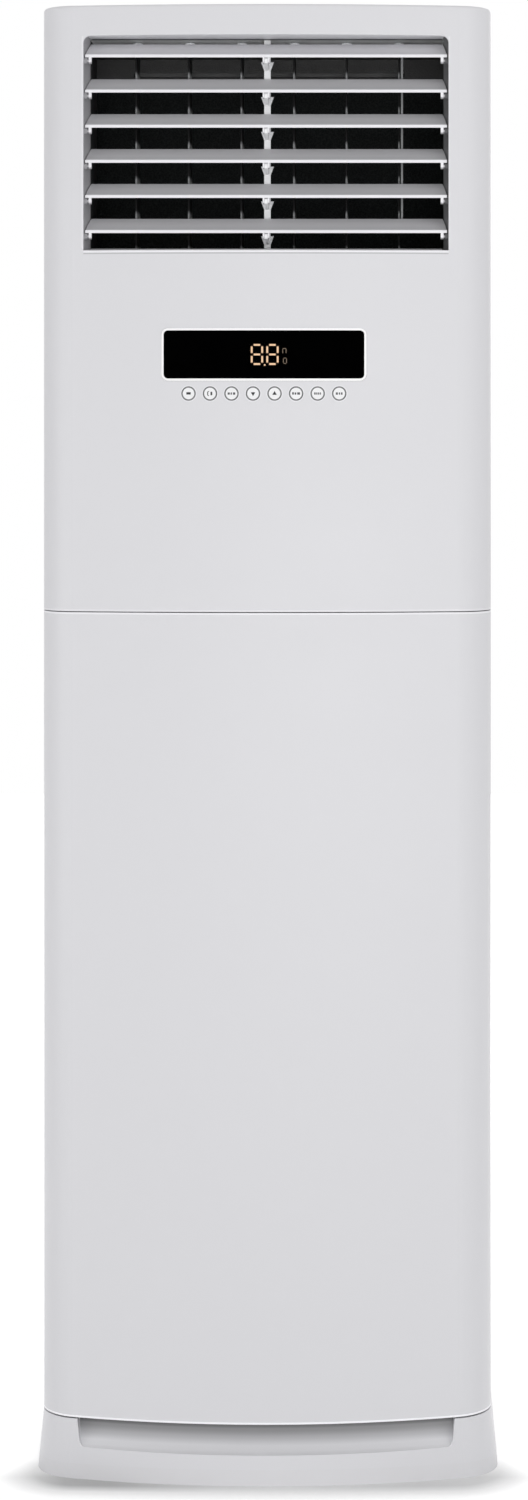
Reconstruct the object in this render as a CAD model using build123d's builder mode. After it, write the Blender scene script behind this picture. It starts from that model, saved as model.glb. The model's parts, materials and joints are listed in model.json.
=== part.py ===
from build123d import *
import os
from math import atan2, cos, radians, sin, sqrt

os.makedirs("parts", exist_ok=True)

# Millimetres. +Z is up, the front faces -Y, and the origin is under the middle of the base.

# ---- Driving dimensions: cabinet ----
overall_height = 1871.0
overall_depth = 386.0
body_width = 573.0
base_flare = 9.4  # how far the foot spreads beyond the body on each side
foot_reach = 4.0  # how far the foot stands in front of the body at the middle
foot_crown = 1000.0  # the foot's front is curved more than the body's
crown_radius = 1700.0  # gentle curve of the front across its width
corner_radius = 48.0  # upright front corners
top_edge_radius = 4.0
rear_corner_radius = 2.0
base_height = 80.5  # at the sides
base_dip = 6.0  # how far the shut line over the base sags at the middle
panel_seam_height = 1102.0
seam_gap = 1.2
base_gap = 2.0
side_gap = 0.7
panel_wall = 3.0
sheet = 1.5
front_zone = 77.0  # from the crown's apex back to the side shut line
cover_height = 25.0
seat = 0.3  # clearance where one piece rests on or beside another
flange = 12.0  # inward returns of the front panels

# ---- Driving dimensions: base ----
scoop_margin = 46.5  # from the body's side to the recess, at its top
scoop_slant = 4.0
scoop_floor = 36.0
scoop_lift = 4.6  # the recess's lower edge rises this much towards both ends
scoop_depth = 24.0
scoop_crown = 2000.0
scoop_corner = 13.0
scoop_bow = (0.62, 0.28)  # share of the depth and height where the back curves in
skirt_wall = 3.0
pan_front_setback = 52.0

# ---- Driving dimensions: air outlet ----
outlet_margin = 55.0  # from the body's side to the opening
outlet_drop = 39.0  # from the top of the cabinet to the opening
outlet_tall = 271.6
outlet_corner = 9.0
outlet_edge_radius = 1.5
outlet_taper = 5.6  # inward lean of the side walls from front to back
sill_rise = 4.0  # rise of the floor from front to back
frame_wall = 2.5
frame_depth = 52.0
frame_flange = 9.0
louvre_count = 6
lip_drop = 26.5  # from the top of the opening to the first lip's lower edge
louvre_pitch = 44.6
lip_setback = 21.0  # from the crown's apex to the louvre lips
lip_height = 3.5
lip_depth = 2.2
blade_run = 29.0
blade_rise = 19.6
blade_camber = 1.3
blade_thickness = 1.8
blade_end_gap = 1.4
louvre_pivot_back = 5.0
louvre_pivot_drop = 3.8
pin_radius = 2.0
pin_clearance = 0.06
ear_inset = 6.2
end_ear_thickness = 3.6
ear_thickness = 2.0  # ears at the centre bracket, and the crank lug
ear_drop = 7.8
ear_step = 1.0  # ear and pivot set back from the lip's front
ear_back = 5.0
lug_reach = 2.0  # metal round the crank pin
boss_radius = 4.1
boss_gap = 1.9  # between a boss of the frame and the louvre's end ear
crank_back = 36.0
crank_rise = 12.0
crank_pin_radius = 1.5
crank_offset = 2.2  # crank lug's outer face beyond the last vane
link_thickness = 2.5
link_width = 7.0
post_width = 8.2
post_depth = 7.0
post_gap = 2.0
bracket_width = 16.5
bracket_drop = 9.0
bracket_nose = 3.3  # bracket's reach round the pin, in front and below
bracket_crest = 2.4

# ---- Driving dimensions: air duct and vanes ----
duct_depth = 86.0
duct_wall = 2.5
vane_count = 6
vane_spread = 0.875  # share of the outlet's width that the vanes take
vane_chord = 52.0
vane_thickness = 2.2
vane_pivot_back = 94.0  # from the crown's apex
vane_pin_radius = 2.5
vane_collar_radius = 6.2
vane_collar_height = 2.5
vane_end_gap = 0.4
notch_height = 18.0
notch_depth = 12.0
tie_drop = 40.0  # tie bar's depth below the duct's ceiling
tie_thickness = 5.0
tie_width = 7.0
swing_motor_radius = 14.0
swing_motor_height = 17.0

# ---- Driving dimensions: display and buttons ----
controls_shift = -2.0
window_width = 253.5
window_height = 60.6
window_drop = 443.0  # from the top of the cabinet to the window's middle
window_corner = 5.5
window_thickness = 2.5
bezel_rim = 3.0
bezel_depth = 5.0
bezel_ledge = 3.0
fit_gap = 0.2
digit_shift = 1.0  # digits' middle from the window's middle
digit_height = 26.5
digit_width = 13.2
digit_pitch = 19.6
digit_stroke = 2.3
digit_relief = 1.0
module_width = 44.0
module_height = 34.0
board_width = 262.0
board_height = 104.0
board_setback = 21.0
board_thickness = 1.6
button_count = 8
button_pitch = 27.2
button_drop = 49.4  # from the window's middle to the row of buttons
button_radius = 8.3
button_clearance = 0.5
button_length = 5.0
button_proud = 0.3
button_travel = 0.8
stop_height = 21.0
stop_width = 5.0
stop_thickness = 1.5
stem_width = 4.0
switch_width = 6.0
standoff_width = 7.0

# ---- Driving dimensions: intake ----
intake_back = 150.0
intake_front = -65.0
intake_bottom = 150.0
intake_height = 510.0
slat_pitch = 23.0
slat_gap = 13.0
grille_thickness = 7.0
filter_thickness = 5.0
filter_border = 9.0
filter_mesh = 1.0
filter_gap = 0.5
filter_front = -78.0
rail_wall = 2.0
rail_grip = 5.0

# ---- Driving dimensions: fan ----
fan_height = 395.0
fan_offset = -18.0  # wheel's axis from the middle of the cabinet's depth
tongue_gap = 15.0  # between the wheel and the housing at its tightest
wheel_width = 216.0
blade_count = 24
fan_blade_depth = 22.0
fan_blade_thickness = 1.4
fan_blade_bow = 3.6
ring_height = 5.0
ring_lip = 1.0
disc_thickness = 3.0
hub_radius = 20.0
hub_length = 44.0
shaft_radius = 6.0
shaft_fit = 0.05
scroll_step = 14.0
scroll_back_gap = 16.3  # from the housing to the rear panel
scroll_wall = 2.0
scroll_side_gap = 12.0
inlet_lap = 7.0  # how far the inlet ring covers the blades' inner edges
tongue_angle = 50.0
throat_front = 58.0
deck_height = 700.0
motor_radius = 56.0
motor_length = 84.0
motor_edge = 6.0
motor_gap = 10.0
bracket_band = 18.0
bracket_arm = 14.0
bracket_sheet = 2.0

# ---- Driving dimensions: cooling ----
coil_thickness = 44.0
coil_foot_y = -100.0
coil_foot_rise = 50.0  # above the underside of the drain pan
coil_head_y = 142.0
coil_head_drop = 32.4  # below the outlet's lower edge
end_plate = 1.5
tube_radius = 4.8
tube_sides = 8
bend_radius = 12.7
bend_count = 5
bend_spare = 0.7  # length of coil beyond the bends, in steps between them
drain_pan_rise = 16.0  # above the seam between the front panels
drain_pan_depth = 34.0
drain_wall = 2.5
spigot_radius = 9.0
pipe_radius = 8.0
pipe_sides = 12
pipe_bend = 18.0
pipe_rows = (160.0, 134.0)
pipe_joints = (2.5, 1.5)  # between which return bends each pipe enters the coil

# ---- Driving dimensions: rear and wiring ----
screw_head = 1.2
fixing_spacing = 300.0
fixing_drop = 91.0  # from the top of the cabinet
fixing_radius = 3.5
pipe_port_radius = 32.0
pipe_port = (150.0, 130.0)  # across and up
cable_port_radius = 8.0
cable_port = (-150.0, 130.0)
collar_width = 6.0
collar_depth = 14.0
box_width = 300.0
box_height = 170.0
box_depth = 62.0
box_wall = 2.0

# ---- Places worked out from the driving dimensions ----
body_half = body_width / 2
base_width = body_width + 2 * base_flare
front_y = -overall_depth / 2 + foot_reach
back_y = overall_depth / 2
side_y = front_y + front_zone
rear_sheet_y = back_y - screw_head - sheet
inner_half = body_half - sheet
cover_z = overall_height - cover_height
base_top = base_height + base_gap
dip_radius = (body_half**2 + base_dip**2) / (2 * base_dip)
scoop_half_top = body_half - scoop_margin
scoop_half_bottom = scoop_half_top - scoop_slant
outlet_width = body_width - 2 * outlet_margin
outlet_top = overall_height - outlet_drop
outlet_bottom = outlet_top - outlet_tall
outlet_mid = (outlet_top + outlet_bottom) / 2
lip_y = front_y + lip_setback
frame_back = front_y + frame_depth
outlet_edge_y = front_y + crown_radius - sqrt(crown_radius**2 - (outlet_width / 2) ** 2) + panel_wall
louvre_pivot_y = lip_y + louvre_pivot_back
vane_pivot_y = front_y + vane_pivot_back
tie_y = vane_pivot_y + vane_chord / 2 - notch_depth / 2
duct_half = outlet_width / 2 - outlet_taper
duct_top = outlet_top
duct_floor = outlet_bottom + sill_rise
duct_mid = (duct_top + duct_floor) / 2
duct_front = frame_back + seat
duct_back = duct_front + duct_depth
louvre_lips = [outlet_top - lip_drop - n * louvre_pitch for n in range(louvre_count)]
vane_pitch = vane_spread * outlet_width / vane_count
vane_places = [(n - (vane_count - 1) / 2) * vane_pitch for n in range(vane_count)]
crank_x = vane_places[-1] + crank_offset
tie_height = duct_top - tie_drop
window_height_centre = overall_height - window_drop
button_height = window_height_centre - button_drop
button_places = [controls_shift + (n - (button_count - 1) / 2) * button_pitch for n in range(button_count)]
board_y = front_y + board_setback
fan_y = (front_y + back_y) / 2 + fan_offset
scroll_start = rear_sheet_y - fan_y - 3 * scroll_step - scroll_back_gap
wheel_radius = scroll_start - tongue_gap
scroll_inlet = wheel_radius - fan_blade_depth - inlet_lap
filter_outer = inner_half - grille_thickness - rail_wall
grille_rim = filter_border + filter_gap + 1.5 * rail_wall
filter_inner = filter_outer - filter_thickness
filter_back = rear_sheet_y + sheet
pipe_x = filter_inner - rail_wall - filter_gap - pipe_radius - 4 * seat
coil_width = 2 * (pipe_x - 2 * pipe_bend)
drain_pan_height = panel_seam_height + drain_pan_rise
coil_bottom = (coil_foot_y, drain_pan_height + coil_foot_rise)
coil_top = (coil_head_y, outlet_bottom - coil_head_drop)
fixing_height = overall_height - fixing_drop
pipe_start = pipe_port[0] + pipe_port_radius - pipe_radius


def save(piece, name):
    piece.part.label = name
    export_step(piece.part, f"parts/{name}.step")


def wall_plane(y):
    # Upright plane facing the front; a positive extrusion goes towards -Y
    return Plane.XZ.offset(-y)


def crown_y(x, inset=0.0):
    # The front surface at x, moved inward by inset
    crown = crown_radius - inset
    return front_y + crown_radius - sqrt(crown**2 - x**2)


def dip_z(centre_z, x):
    return centre_z + dip_radius - sqrt(dip_radius**2 - x**2)


def crowned_plan(apex_y, crown, corner, half, rear_y):
    # Plan with a crowned front, rounded corners and straight sides back to rear_y
    corner_x = half - corner
    crown_centre = apex_y + crown
    corner_y = crown_centre - sqrt((crown - corner) ** 2 - corner_x**2)
    turn = atan2(corner_y - crown_centre, corner_x)
    touch = (crown * cos(turn), crown_centre + crown * sin(turn))
    middle = (corner_x + corner * cos(turn / 2), corner_y + corner * sin(turn / 2))
    with BuildSketch(mode=Mode.PRIVATE) as region:
        with BuildLine():
            ThreePointArc((-touch[0], touch[1]), (0, apex_y), touch)
            ThreePointArc(touch, middle, (half, corner_y))
            Polyline((half, corner_y), (half, rear_y), (-half, rear_y), (-half, corner_y))
            ThreePointArc((-half, corner_y), (-middle[0], middle[1]), (-touch[0], touch[1]))
        make_face()
    return region.sketch


def front_region(inset, rear_y):
    # Plan of the cabinet, moved inward by inset
    return crowned_plan(front_y + inset, crown_radius - inset, corner_radius - inset,
                        body_half - inset, rear_y)


def foot_region(inset, rear_y):
    # Plan of the base where it stands on the floor, moved inward by inset
    return crowned_plan(front_y - foot_reach + inset, foot_crown - inset,
                        corner_radius + base_flare - inset, body_half + base_flare - inset, rear_y)


def dip_region(centre_z, top_z):
    # Front view of the space above the sagging shut line over the base
    side_z = dip_z(centre_z, base_width / 2)
    with BuildSketch(mode=Mode.PRIVATE) as region:
        with BuildLine():
            ThreePointArc((-base_width / 2, side_z), (0, centre_z), (base_width / 2, side_z))
            Polyline((base_width / 2, side_z), (base_width / 2, top_z), (-base_width / 2, top_z),
                     (-base_width / 2, side_z))
        make_face()
    return region.sketch


def block(x_span, y_span, z_span, mode=Mode.ADD):
    # Rectangular web, tab or cut between two coordinates on each axis
    centre = [(span[0] + span[1]) / 2 for span in (x_span, y_span, z_span)]
    size = [abs(span[1] - span[0]) for span in (x_span, y_span, z_span)]
    with Locations(tuple(centre)):
        Box(*size, mode=mode)


def scoop(depth, grow):
    # Toe recess: a rounded trapezoid seen from the front, with a concave back that is curved
    # less than the foot, so that its lower edge rises towards both ends
    edge = front_y - base_flare
    low = scoop_floor - grow
    high = base_height + base_dip
    axis_y = front_y + scoop_crown
    bowed = (front_y + depth * scoop_bow[0], low + (high - low) * scoop_bow[1])
    with BuildPart(mode=Mode.PRIVATE) as recess:
        with BuildSketch(wall_plane(front_y + corner_radius)) as outline:
            with BuildLine():
                ThreePointArc((-scoop_half_bottom - grow, low + scoop_lift), (0, low),
                              (scoop_half_bottom + grow, low + scoop_lift))
                Polyline((scoop_half_bottom + grow, low + scoop_lift), (scoop_half_top + grow, high),
                         (-scoop_half_top - grow, high), (-scoop_half_bottom - grow, low + scoop_lift))
            make_face()
            fillet(outline.vertices().group_by(Axis.Y)[0], scoop_corner + grow)
        extrude(amount=corner_radius + base_flare + seam_gap)
        with BuildSketch(Plane.YZ):
            with BuildLine():
                ThreePointArc((edge, low), bowed, (front_y + depth, high))
                Polyline((front_y + depth, high), (edge - base_flare, high),
                         (edge - base_flare, low), (edge, low))
            make_face()
        revolve(axis=Axis((0, axis_y, 0), (0, 0, 1)), revolution_arc=360, mode=Mode.INTERSECT)
    return recess.part


# ---- Base ----
toe_recess = scoop(scoop_depth, 0.0)
toe_wall = scoop(scoop_depth + skirt_wall, skirt_wall)

with BuildPart() as skirt_hollow:
    with BuildSketch():
        add(foot_region(skirt_wall, back_y - skirt_wall))
    with BuildSketch(Plane.XY.offset(base_height)):
        add(front_region(skirt_wall, back_y - skirt_wall))
    loft(ruled=True)
    add(toe_wall, mode=Mode.SUBTRACT)

with BuildPart() as base_skirt:
    with BuildSketch():
        add(foot_region(0, back_y))
    with BuildSketch(Plane.XY.offset(base_height)):
        add(front_region(0, back_y))
    loft(ruled=True)
    add(skirt_hollow.part, mode=Mode.SUBTRACT)
    add(toe_recess, mode=Mode.SUBTRACT)
    with BuildSketch(wall_plane(back_y + seam_gap)):
        add(dip_region(base_height - base_dip, base_height + base_dip))
    extrude(amount=overall_depth + 2 * seam_gap, mode=Mode.SUBTRACT)
save(base_skirt, "base_skirt")

pan_half = body_half - skirt_wall - seat
pan_front = front_y + pan_front_setback
pan_back = back_y - skirt_wall - seat
with BuildPart() as base_pan:
    with BuildSketch():
        with Locations((0, (pan_front + pan_back) / 2)):
            Rectangle(2 * pan_half, pan_back - pan_front)
    extrude(amount=base_top - seat)
    corners = base_pan.edges().filter_by(Axis.Z).group_by(Axis.Y)[0]
    chamfer(corners, corner_radius / 2)
    offset(amount=-sheet, openings=base_pan.faces().sort_by(Axis.Z)[-1])
    with BuildSketch(Plane.XY.offset(sheet)):
        with GridLocations(pan_half * 0.9, 0, 2, 1):
            RectangleRounded(pan_half * 0.5, (pan_back - pan_front) * 0.6, corner_radius / 2)
    extrude(amount=2 * sheet)
save(base_pan, "base_pan")


# ---- Front panels ----
def front_panel(bottom_z, top_z):
    # Thin moulded shell open at the back, with an inward return along its bottom edge
    with BuildPart(mode=Mode.PRIVATE) as shell:
        with BuildSketch(Plane.XY.offset(bottom_z)):
            add(front_region(0, side_y - side_gap))
        extrude(amount=top_z - bottom_z)
        if top_z > cover_z:
            top_edges = shell.edges().group_by(Axis.Z)[-1]
            fillet(top_edges.filter_by(lambda edge: edge.center().Y < side_y - 2 * side_gap), top_edge_radius)
    return shell.part


def cavity(bottom_z, top_z, inset, round_top):
    with BuildPart(mode=Mode.PRIVATE) as hollow:
        with BuildSketch(Plane.XY.offset(bottom_z)):
            add(front_region(inset, side_y + side_gap))
        extrude(amount=top_z - bottom_z)
        if round_top:
            top_edges = hollow.edges().group_by(Axis.Z)[-1]
            fillet(top_edges.filter_by(lambda edge: edge.center().Y < side_y), top_edge_radius - panel_wall)
    return hollow.part


lower_bottom = base_height - base_dip
lower_top = panel_seam_height - seam_gap / 2
upper_bottom = panel_seam_height + seam_gap / 2

with BuildPart() as lower_front_panel:
    add(front_panel(lower_bottom, lower_top))
    add(cavity(lower_bottom, lower_top - panel_wall, panel_wall, False), mode=Mode.SUBTRACT)
    add(cavity(lower_bottom, lower_top + seam_gap, flange, False), mode=Mode.SUBTRACT)
    with BuildSketch(wall_plane(side_y)):
        add(dip_region(lower_bottom + base_gap, lower_top + seam_gap))
    extrude(amount=2 * front_zone, mode=Mode.INTERSECT)
save(lower_front_panel, "lower_front_panel")

def on_outlet_rim(edge):
    # True for an edge of the outlet opening that lies on the panel's outer face
    spot = edge.center()
    beside = abs(spot.X) < outlet_width / 2 + seat and abs(spot.Z - outlet_mid) < outlet_tall / 2 + seat
    return beside and spot.Y < crown_y(spot.X) + seat


window_hole_width = window_width + 2 * (bezel_rim + fit_gap)
window_hole_height = window_height + 2 * (bezel_rim + fit_gap)
with BuildPart() as upper_front_panel:
    add(front_panel(upper_bottom, overall_height))
    add(cavity(upper_bottom + panel_wall, overall_height - panel_wall, panel_wall, True), mode=Mode.SUBTRACT)
    add(cavity(upper_bottom - seam_gap, overall_height - 2 * panel_wall, flange, False), mode=Mode.SUBTRACT)
    # Standoffs that carry the control board
    with BuildSketch(wall_plane(board_y - seat)):
        with Locations((controls_shift, (window_height_centre + button_height) / 2)):
            with GridLocations(board_width - standoff_width, board_height - standoff_width, 2, 2):
                Rectangle(standoff_width, standoff_width)
    extrude(amount=board_setback - panel_wall / 2 - seat - crown_y(board_width / 2) + front_y)
    # Air outlet, display and button openings
    with BuildSketch(wall_plane(side_y)) as openings:
        with Locations((0, outlet_mid)):
            Rectangle(outlet_width, outlet_tall)
        fillet(openings.vertices().group_by(Axis.Y)[-1], outlet_corner)
        with Locations((controls_shift, window_height_centre)):
            RectangleRounded(window_hole_width, window_hole_height, window_corner + bezel_rim)
        with Locations(*[(x, button_height) for x in button_places]):
            Circle(button_radius + button_clearance)
    extrude(amount=front_zone + seam_gap, mode=Mode.SUBTRACT)
    # Soft edge round the outlet
    fillet(upper_front_panel.edges().filter_by(on_outlet_rim), outlet_edge_radius)
save(upper_front_panel, "upper_front_panel")

# ---- Top cover and side panels ----
with BuildPart() as top_cover:
    with BuildSketch(wall_plane(back_y)) as arch:
        with Locations((0, cover_z + cover_height / 2)):
            Rectangle(body_width, cover_height)
        fillet(arch.vertices().group_by(Axis.Y)[-1], top_edge_radius)
    extrude(amount=back_y - side_y)
    offset(amount=-panel_wall, openings=top_cover.faces().sort_by(Axis.Z)[0])
    rear_rim = top_cover.edges().group_by(Axis.Y)[-1]
    fillet(rear_rim.filter_by(lambda edge: edge.center().Z > cover_z + panel_wall), rear_corner_radius)
save(top_cover, "top_cover")

side_bottom = base_top
side_top = cover_z - seat
return_width = 12.0
rear_return = 8.0
intake_mid_y = (intake_back + intake_front) / 2
intake_mid_z = intake_bottom + intake_height / 2


def side_panel(side, name):
    outer = side * body_half
    inner = side * inner_half
    with BuildPart() as panel:
        block((inner, outer), (side_y, rear_sheet_y - seat), (side_bottom, side_top))
        block((outer - side * return_width, outer), (side_y, side_y + sheet), (side_bottom, side_top))
        rear_edge = rear_sheet_y - seat
        block((outer - side * rear_return, outer), (rear_edge - sheet, rear_edge), (side_bottom, side_top))
        for z in (side_bottom, side_top - sheet):
            block((outer - side * rear_return, outer), (side_y, rear_edge), (z, z + sheet))
        block((inner - side, outer + side), (intake_front, intake_back),
              (intake_bottom, intake_bottom + intake_height), mode=Mode.SUBTRACT)
    save(panel, name)


side_panel(-1, "left_side_panel")
side_panel(1, "right_side_panel")

# ---- Rear panel ----
slot_half = filter_thickness / 2 + side_gap
slot_centre = (filter_outer + filter_inner) / 2
filter_bottom = intake_bottom - filter_border
filter_height = intake_height + 2 * filter_border
rib_width = 360.0
rib_height = 26.0
rib_count = 6
rib_low = pipe_port[1] + pipe_port_radius + collar_width + rib_height
rib_high = fixing_height - 1.5 * rib_height
rib_mid = (rib_low + rib_high) / 2
rib_pitch = (rib_high - rib_low) / (rib_count - 1)
with BuildPart() as rear_panel:
    block((-inner_half, inner_half), (rear_sheet_y, rear_sheet_y + sheet), (side_bottom, side_top))
    for z in (side_bottom, side_top - sheet):
        block((-pan_half + return_width, pan_half - return_width),
              (rear_sheet_y - return_width, rear_sheet_y), (z, z + sheet))
    # Pressed stiffening ribs, hollow from outside
    with BuildSketch(wall_plane(rear_sheet_y)) as raised:
        with Locations((0, rib_mid)):
            with GridLocations(0, rib_pitch, 1, rib_count):
                Rectangle(rib_width, rib_height)
        chamfer(raised.vertices(), rib_height / 3)
    extrude(amount=2 * sheet)
    with BuildSketch(wall_plane(rear_sheet_y + sheet)) as pressed:
        with Locations((0, rib_mid)):
            with GridLocations(0, rib_pitch, 1, rib_count):
                Rectangle(rib_width - 2 * sheet, rib_height - 2 * sheet)
        chamfer(pressed.vertices(), rib_height / 3)
    extrude(amount=2 * sheet, mode=Mode.SUBTRACT)
    with BuildSketch(wall_plane(rear_sheet_y + 2 * sheet)):
        with Locations((-slot_centre, intake_mid_z), (slot_centre, intake_mid_z)):
            Rectangle(2 * slot_half, filter_height + 2 * side_gap)
        with Locations((-fixing_spacing / 2, fixing_height), (fixing_spacing / 2, fixing_height)):
            Circle(fixing_radius)
        with Locations(pipe_port):
            Circle(pipe_port_radius + collar_width / 2)
        with Locations(cable_port):
            Circle(cable_port_radius + collar_width / 2)
    extrude(amount=4 * sheet, mode=Mode.SUBTRACT)
save(rear_panel, "rear_panel")


def port_collar(centre, bore, name):
    # Flanged bush pushed into its hole in the rear panel from the inside
    with BuildPart() as collar:
        with BuildSketch(wall_plane(rear_sheet_y + sheet)):
            with Locations(centre):
                Circle(bore + collar_width / 2 - fit_gap)
        extrude(amount=collar_depth)
        with BuildSketch(wall_plane(rear_sheet_y - fit_gap)):
            with Locations(centre):
                Circle(bore + collar_width)
        extrude(amount=collar_width / 2)
        with BuildSketch(wall_plane(back_y)):
            with Locations(centre):
                Circle(bore)
        extrude(amount=collar_depth + collar_width, mode=Mode.SUBTRACT)
    save(collar, name)


port_collar(pipe_port, pipe_port_radius, "pipe_collar")
port_collar(cable_port, cable_port_radius, "cable_grommet")

screw_x = inner_half - rear_return / 2
with BuildPart() as casing_screws:
    with BuildSketch(wall_plane(back_y)):
        with Locations((0, (side_bottom + side_top) / 2)):
            with GridLocations(2 * screw_x, (side_top - side_bottom - 4 * return_width) / 4, 2, 5):
                RegularPolygon(rear_return / 2, 6)
    extrude(amount=screw_head)
save(casing_screws, "casing_screws")


# ---- Side intakes: slatted grille with rails, and the filter that slides in them ----
rail_inner = filter_inner - rail_wall - filter_gap
rail_back = intake_back + filter_border


def intake_grille(side, name):
    outer = body_half
    back_face = body_half - grille_thickness
    slat_count = int((intake_height - 2 * slat_gap) / slat_pitch)
    with BuildPart() as grille:
        with BuildSketch(Plane.YZ.offset(back_face)):
            with Locations((intake_mid_y, intake_mid_z)):
                Rectangle(intake_back - intake_front - 2 * fit_gap, intake_height - 2 * fit_gap)
        extrude(amount=grille_thickness)
        with BuildSketch(Plane.YZ.offset(back_face)):
            with Locations((intake_mid_y, intake_mid_z)):
                Rectangle(intake_back - intake_front + 2 * grille_rim, intake_height + 2 * grille_rim)
        extrude(amount=grille_thickness - sheet - fit_gap)
        with BuildSketch(Plane.YZ.offset(outer)):
            with Locations((intake_mid_y, intake_mid_z)):
                with GridLocations(0, slat_pitch, 1, slat_count):
                    Rectangle(intake_back - intake_front - 2 * slat_gap, slat_gap)
        extrude(amount=-2 * grille_thickness, mode=Mode.SUBTRACT)
        # Channels above and below the filter
        for low_z, lip_z in (
            (filter_bottom - filter_gap - rail_wall, filter_bottom + rail_grip),
            (filter_bottom + filter_height + filter_gap, filter_bottom + filter_height - rail_grip),
        ):
            block((rail_inner, back_face), (filter_front, rail_back), (low_z, low_z + rail_wall))
            lip_low = min(low_z, lip_z)
            lip_high = max(low_z + rail_wall, lip_z)
            block((rail_inner, rail_inner + rail_wall), (filter_front, rail_back), (lip_low, lip_high))
    if side < 0:
        with BuildPart() as mirrored:
            add(mirror(grille.part, about=Plane.YZ, mode=Mode.PRIVATE))
        save(mirrored, name)
    else:
        save(grille, name)


intake_grille(-1, "left_intake_grille")
intake_grille(1, "right_intake_grille")


def air_filter(side, name):
    centre = side * slot_centre
    length = filter_back - filter_front
    mid_y = (filter_back + filter_front) / 2
    cell_w = (length - 3 * filter_border) / 2
    cell_h = (filter_height - 5 * filter_border) / 4
    with BuildPart() as screen:
        with BuildSketch(Plane.YZ.offset(centre)):
            with Locations((mid_y, intake_mid_z)):
                Rectangle(length, filter_height)
                with GridLocations(cell_w + filter_border, cell_h + filter_border, 2, 4):
                    Rectangle(cell_w, cell_h, mode=Mode.SUBTRACT)
        extrude(amount=filter_thickness / 2, both=True)
        with BuildSketch(Plane.YZ.offset(centre)):
            with Locations((mid_y, intake_mid_z)):
                Rectangle(length - filter_border, filter_height - filter_border)
        extrude(amount=filter_mesh / 2, both=True)
    save(screen, name)


air_filter(-1, "left_air_filter")
air_filter(1, "right_air_filter")

# ---- Chassis: partition deck over the fan and brace behind the panel seam ----
throat_y = (fan_y - throat_front, fan_y + scroll_start + 3 * scroll_step)
scroll_half = wheel_width / 2 + scroll_side_gap
chassis_half = inner_half - seat
deck_front = crown_y(box_width / 2, panel_wall) + seat
with BuildPart() as partition_deck:
    block((-chassis_half, chassis_half), (side_y + sheet + seat, rear_sheet_y - seat - sheet - seat),
          (deck_height, deck_height + sheet))
    block((-box_width / 2, box_width / 2), (deck_front, side_y + sheet + seat),
          (deck_height, deck_height + sheet))
    block((-scroll_half, scroll_half), throat_y, (deck_height - sheet, deck_height + 2 * sheet),
          mode=Mode.SUBTRACT)
    with BuildSketch(Plane.XY.offset(deck_height - sheet)):
        with Locations((pipe_x, (pipe_rows[0] + pipe_rows[1]) / 2)):
            SlotOverall(pipe_rows[0] - pipe_rows[1] + 3 * pipe_radius, 2.4 * pipe_radius, rotation=90)
    extrude(amount=3 * sheet, mode=Mode.SUBTRACT)
    for y in (side_y + sheet + seat, rear_sheet_y - 2 * seat - 2 * sheet):
        block((-chassis_half + return_width, chassis_half - return_width), (y, y + sheet),
              (deck_height - 2 * return_width, deck_height))
save(partition_deck, "partition_deck")

brace_top = drain_pan_height - seat - sheet / 2
with BuildPart() as cross_brace:
    with BuildSketch(Plane.YZ):
        with BuildLine():
            corner_y = side_y + 1.5 * sheet + seat
            Polyline((corner_y, brace_top - 2 * return_width), (corner_y, brace_top),
                     (corner_y + 2 * return_width, brace_top),
                     (corner_y + 2 * return_width, brace_top - 2 * return_width))
            offset(amount=sheet / 2, side=Side.BOTH)
        make_face()
    extrude(amount=chassis_half, both=True)
save(cross_brace, "cross_brace")

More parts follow.
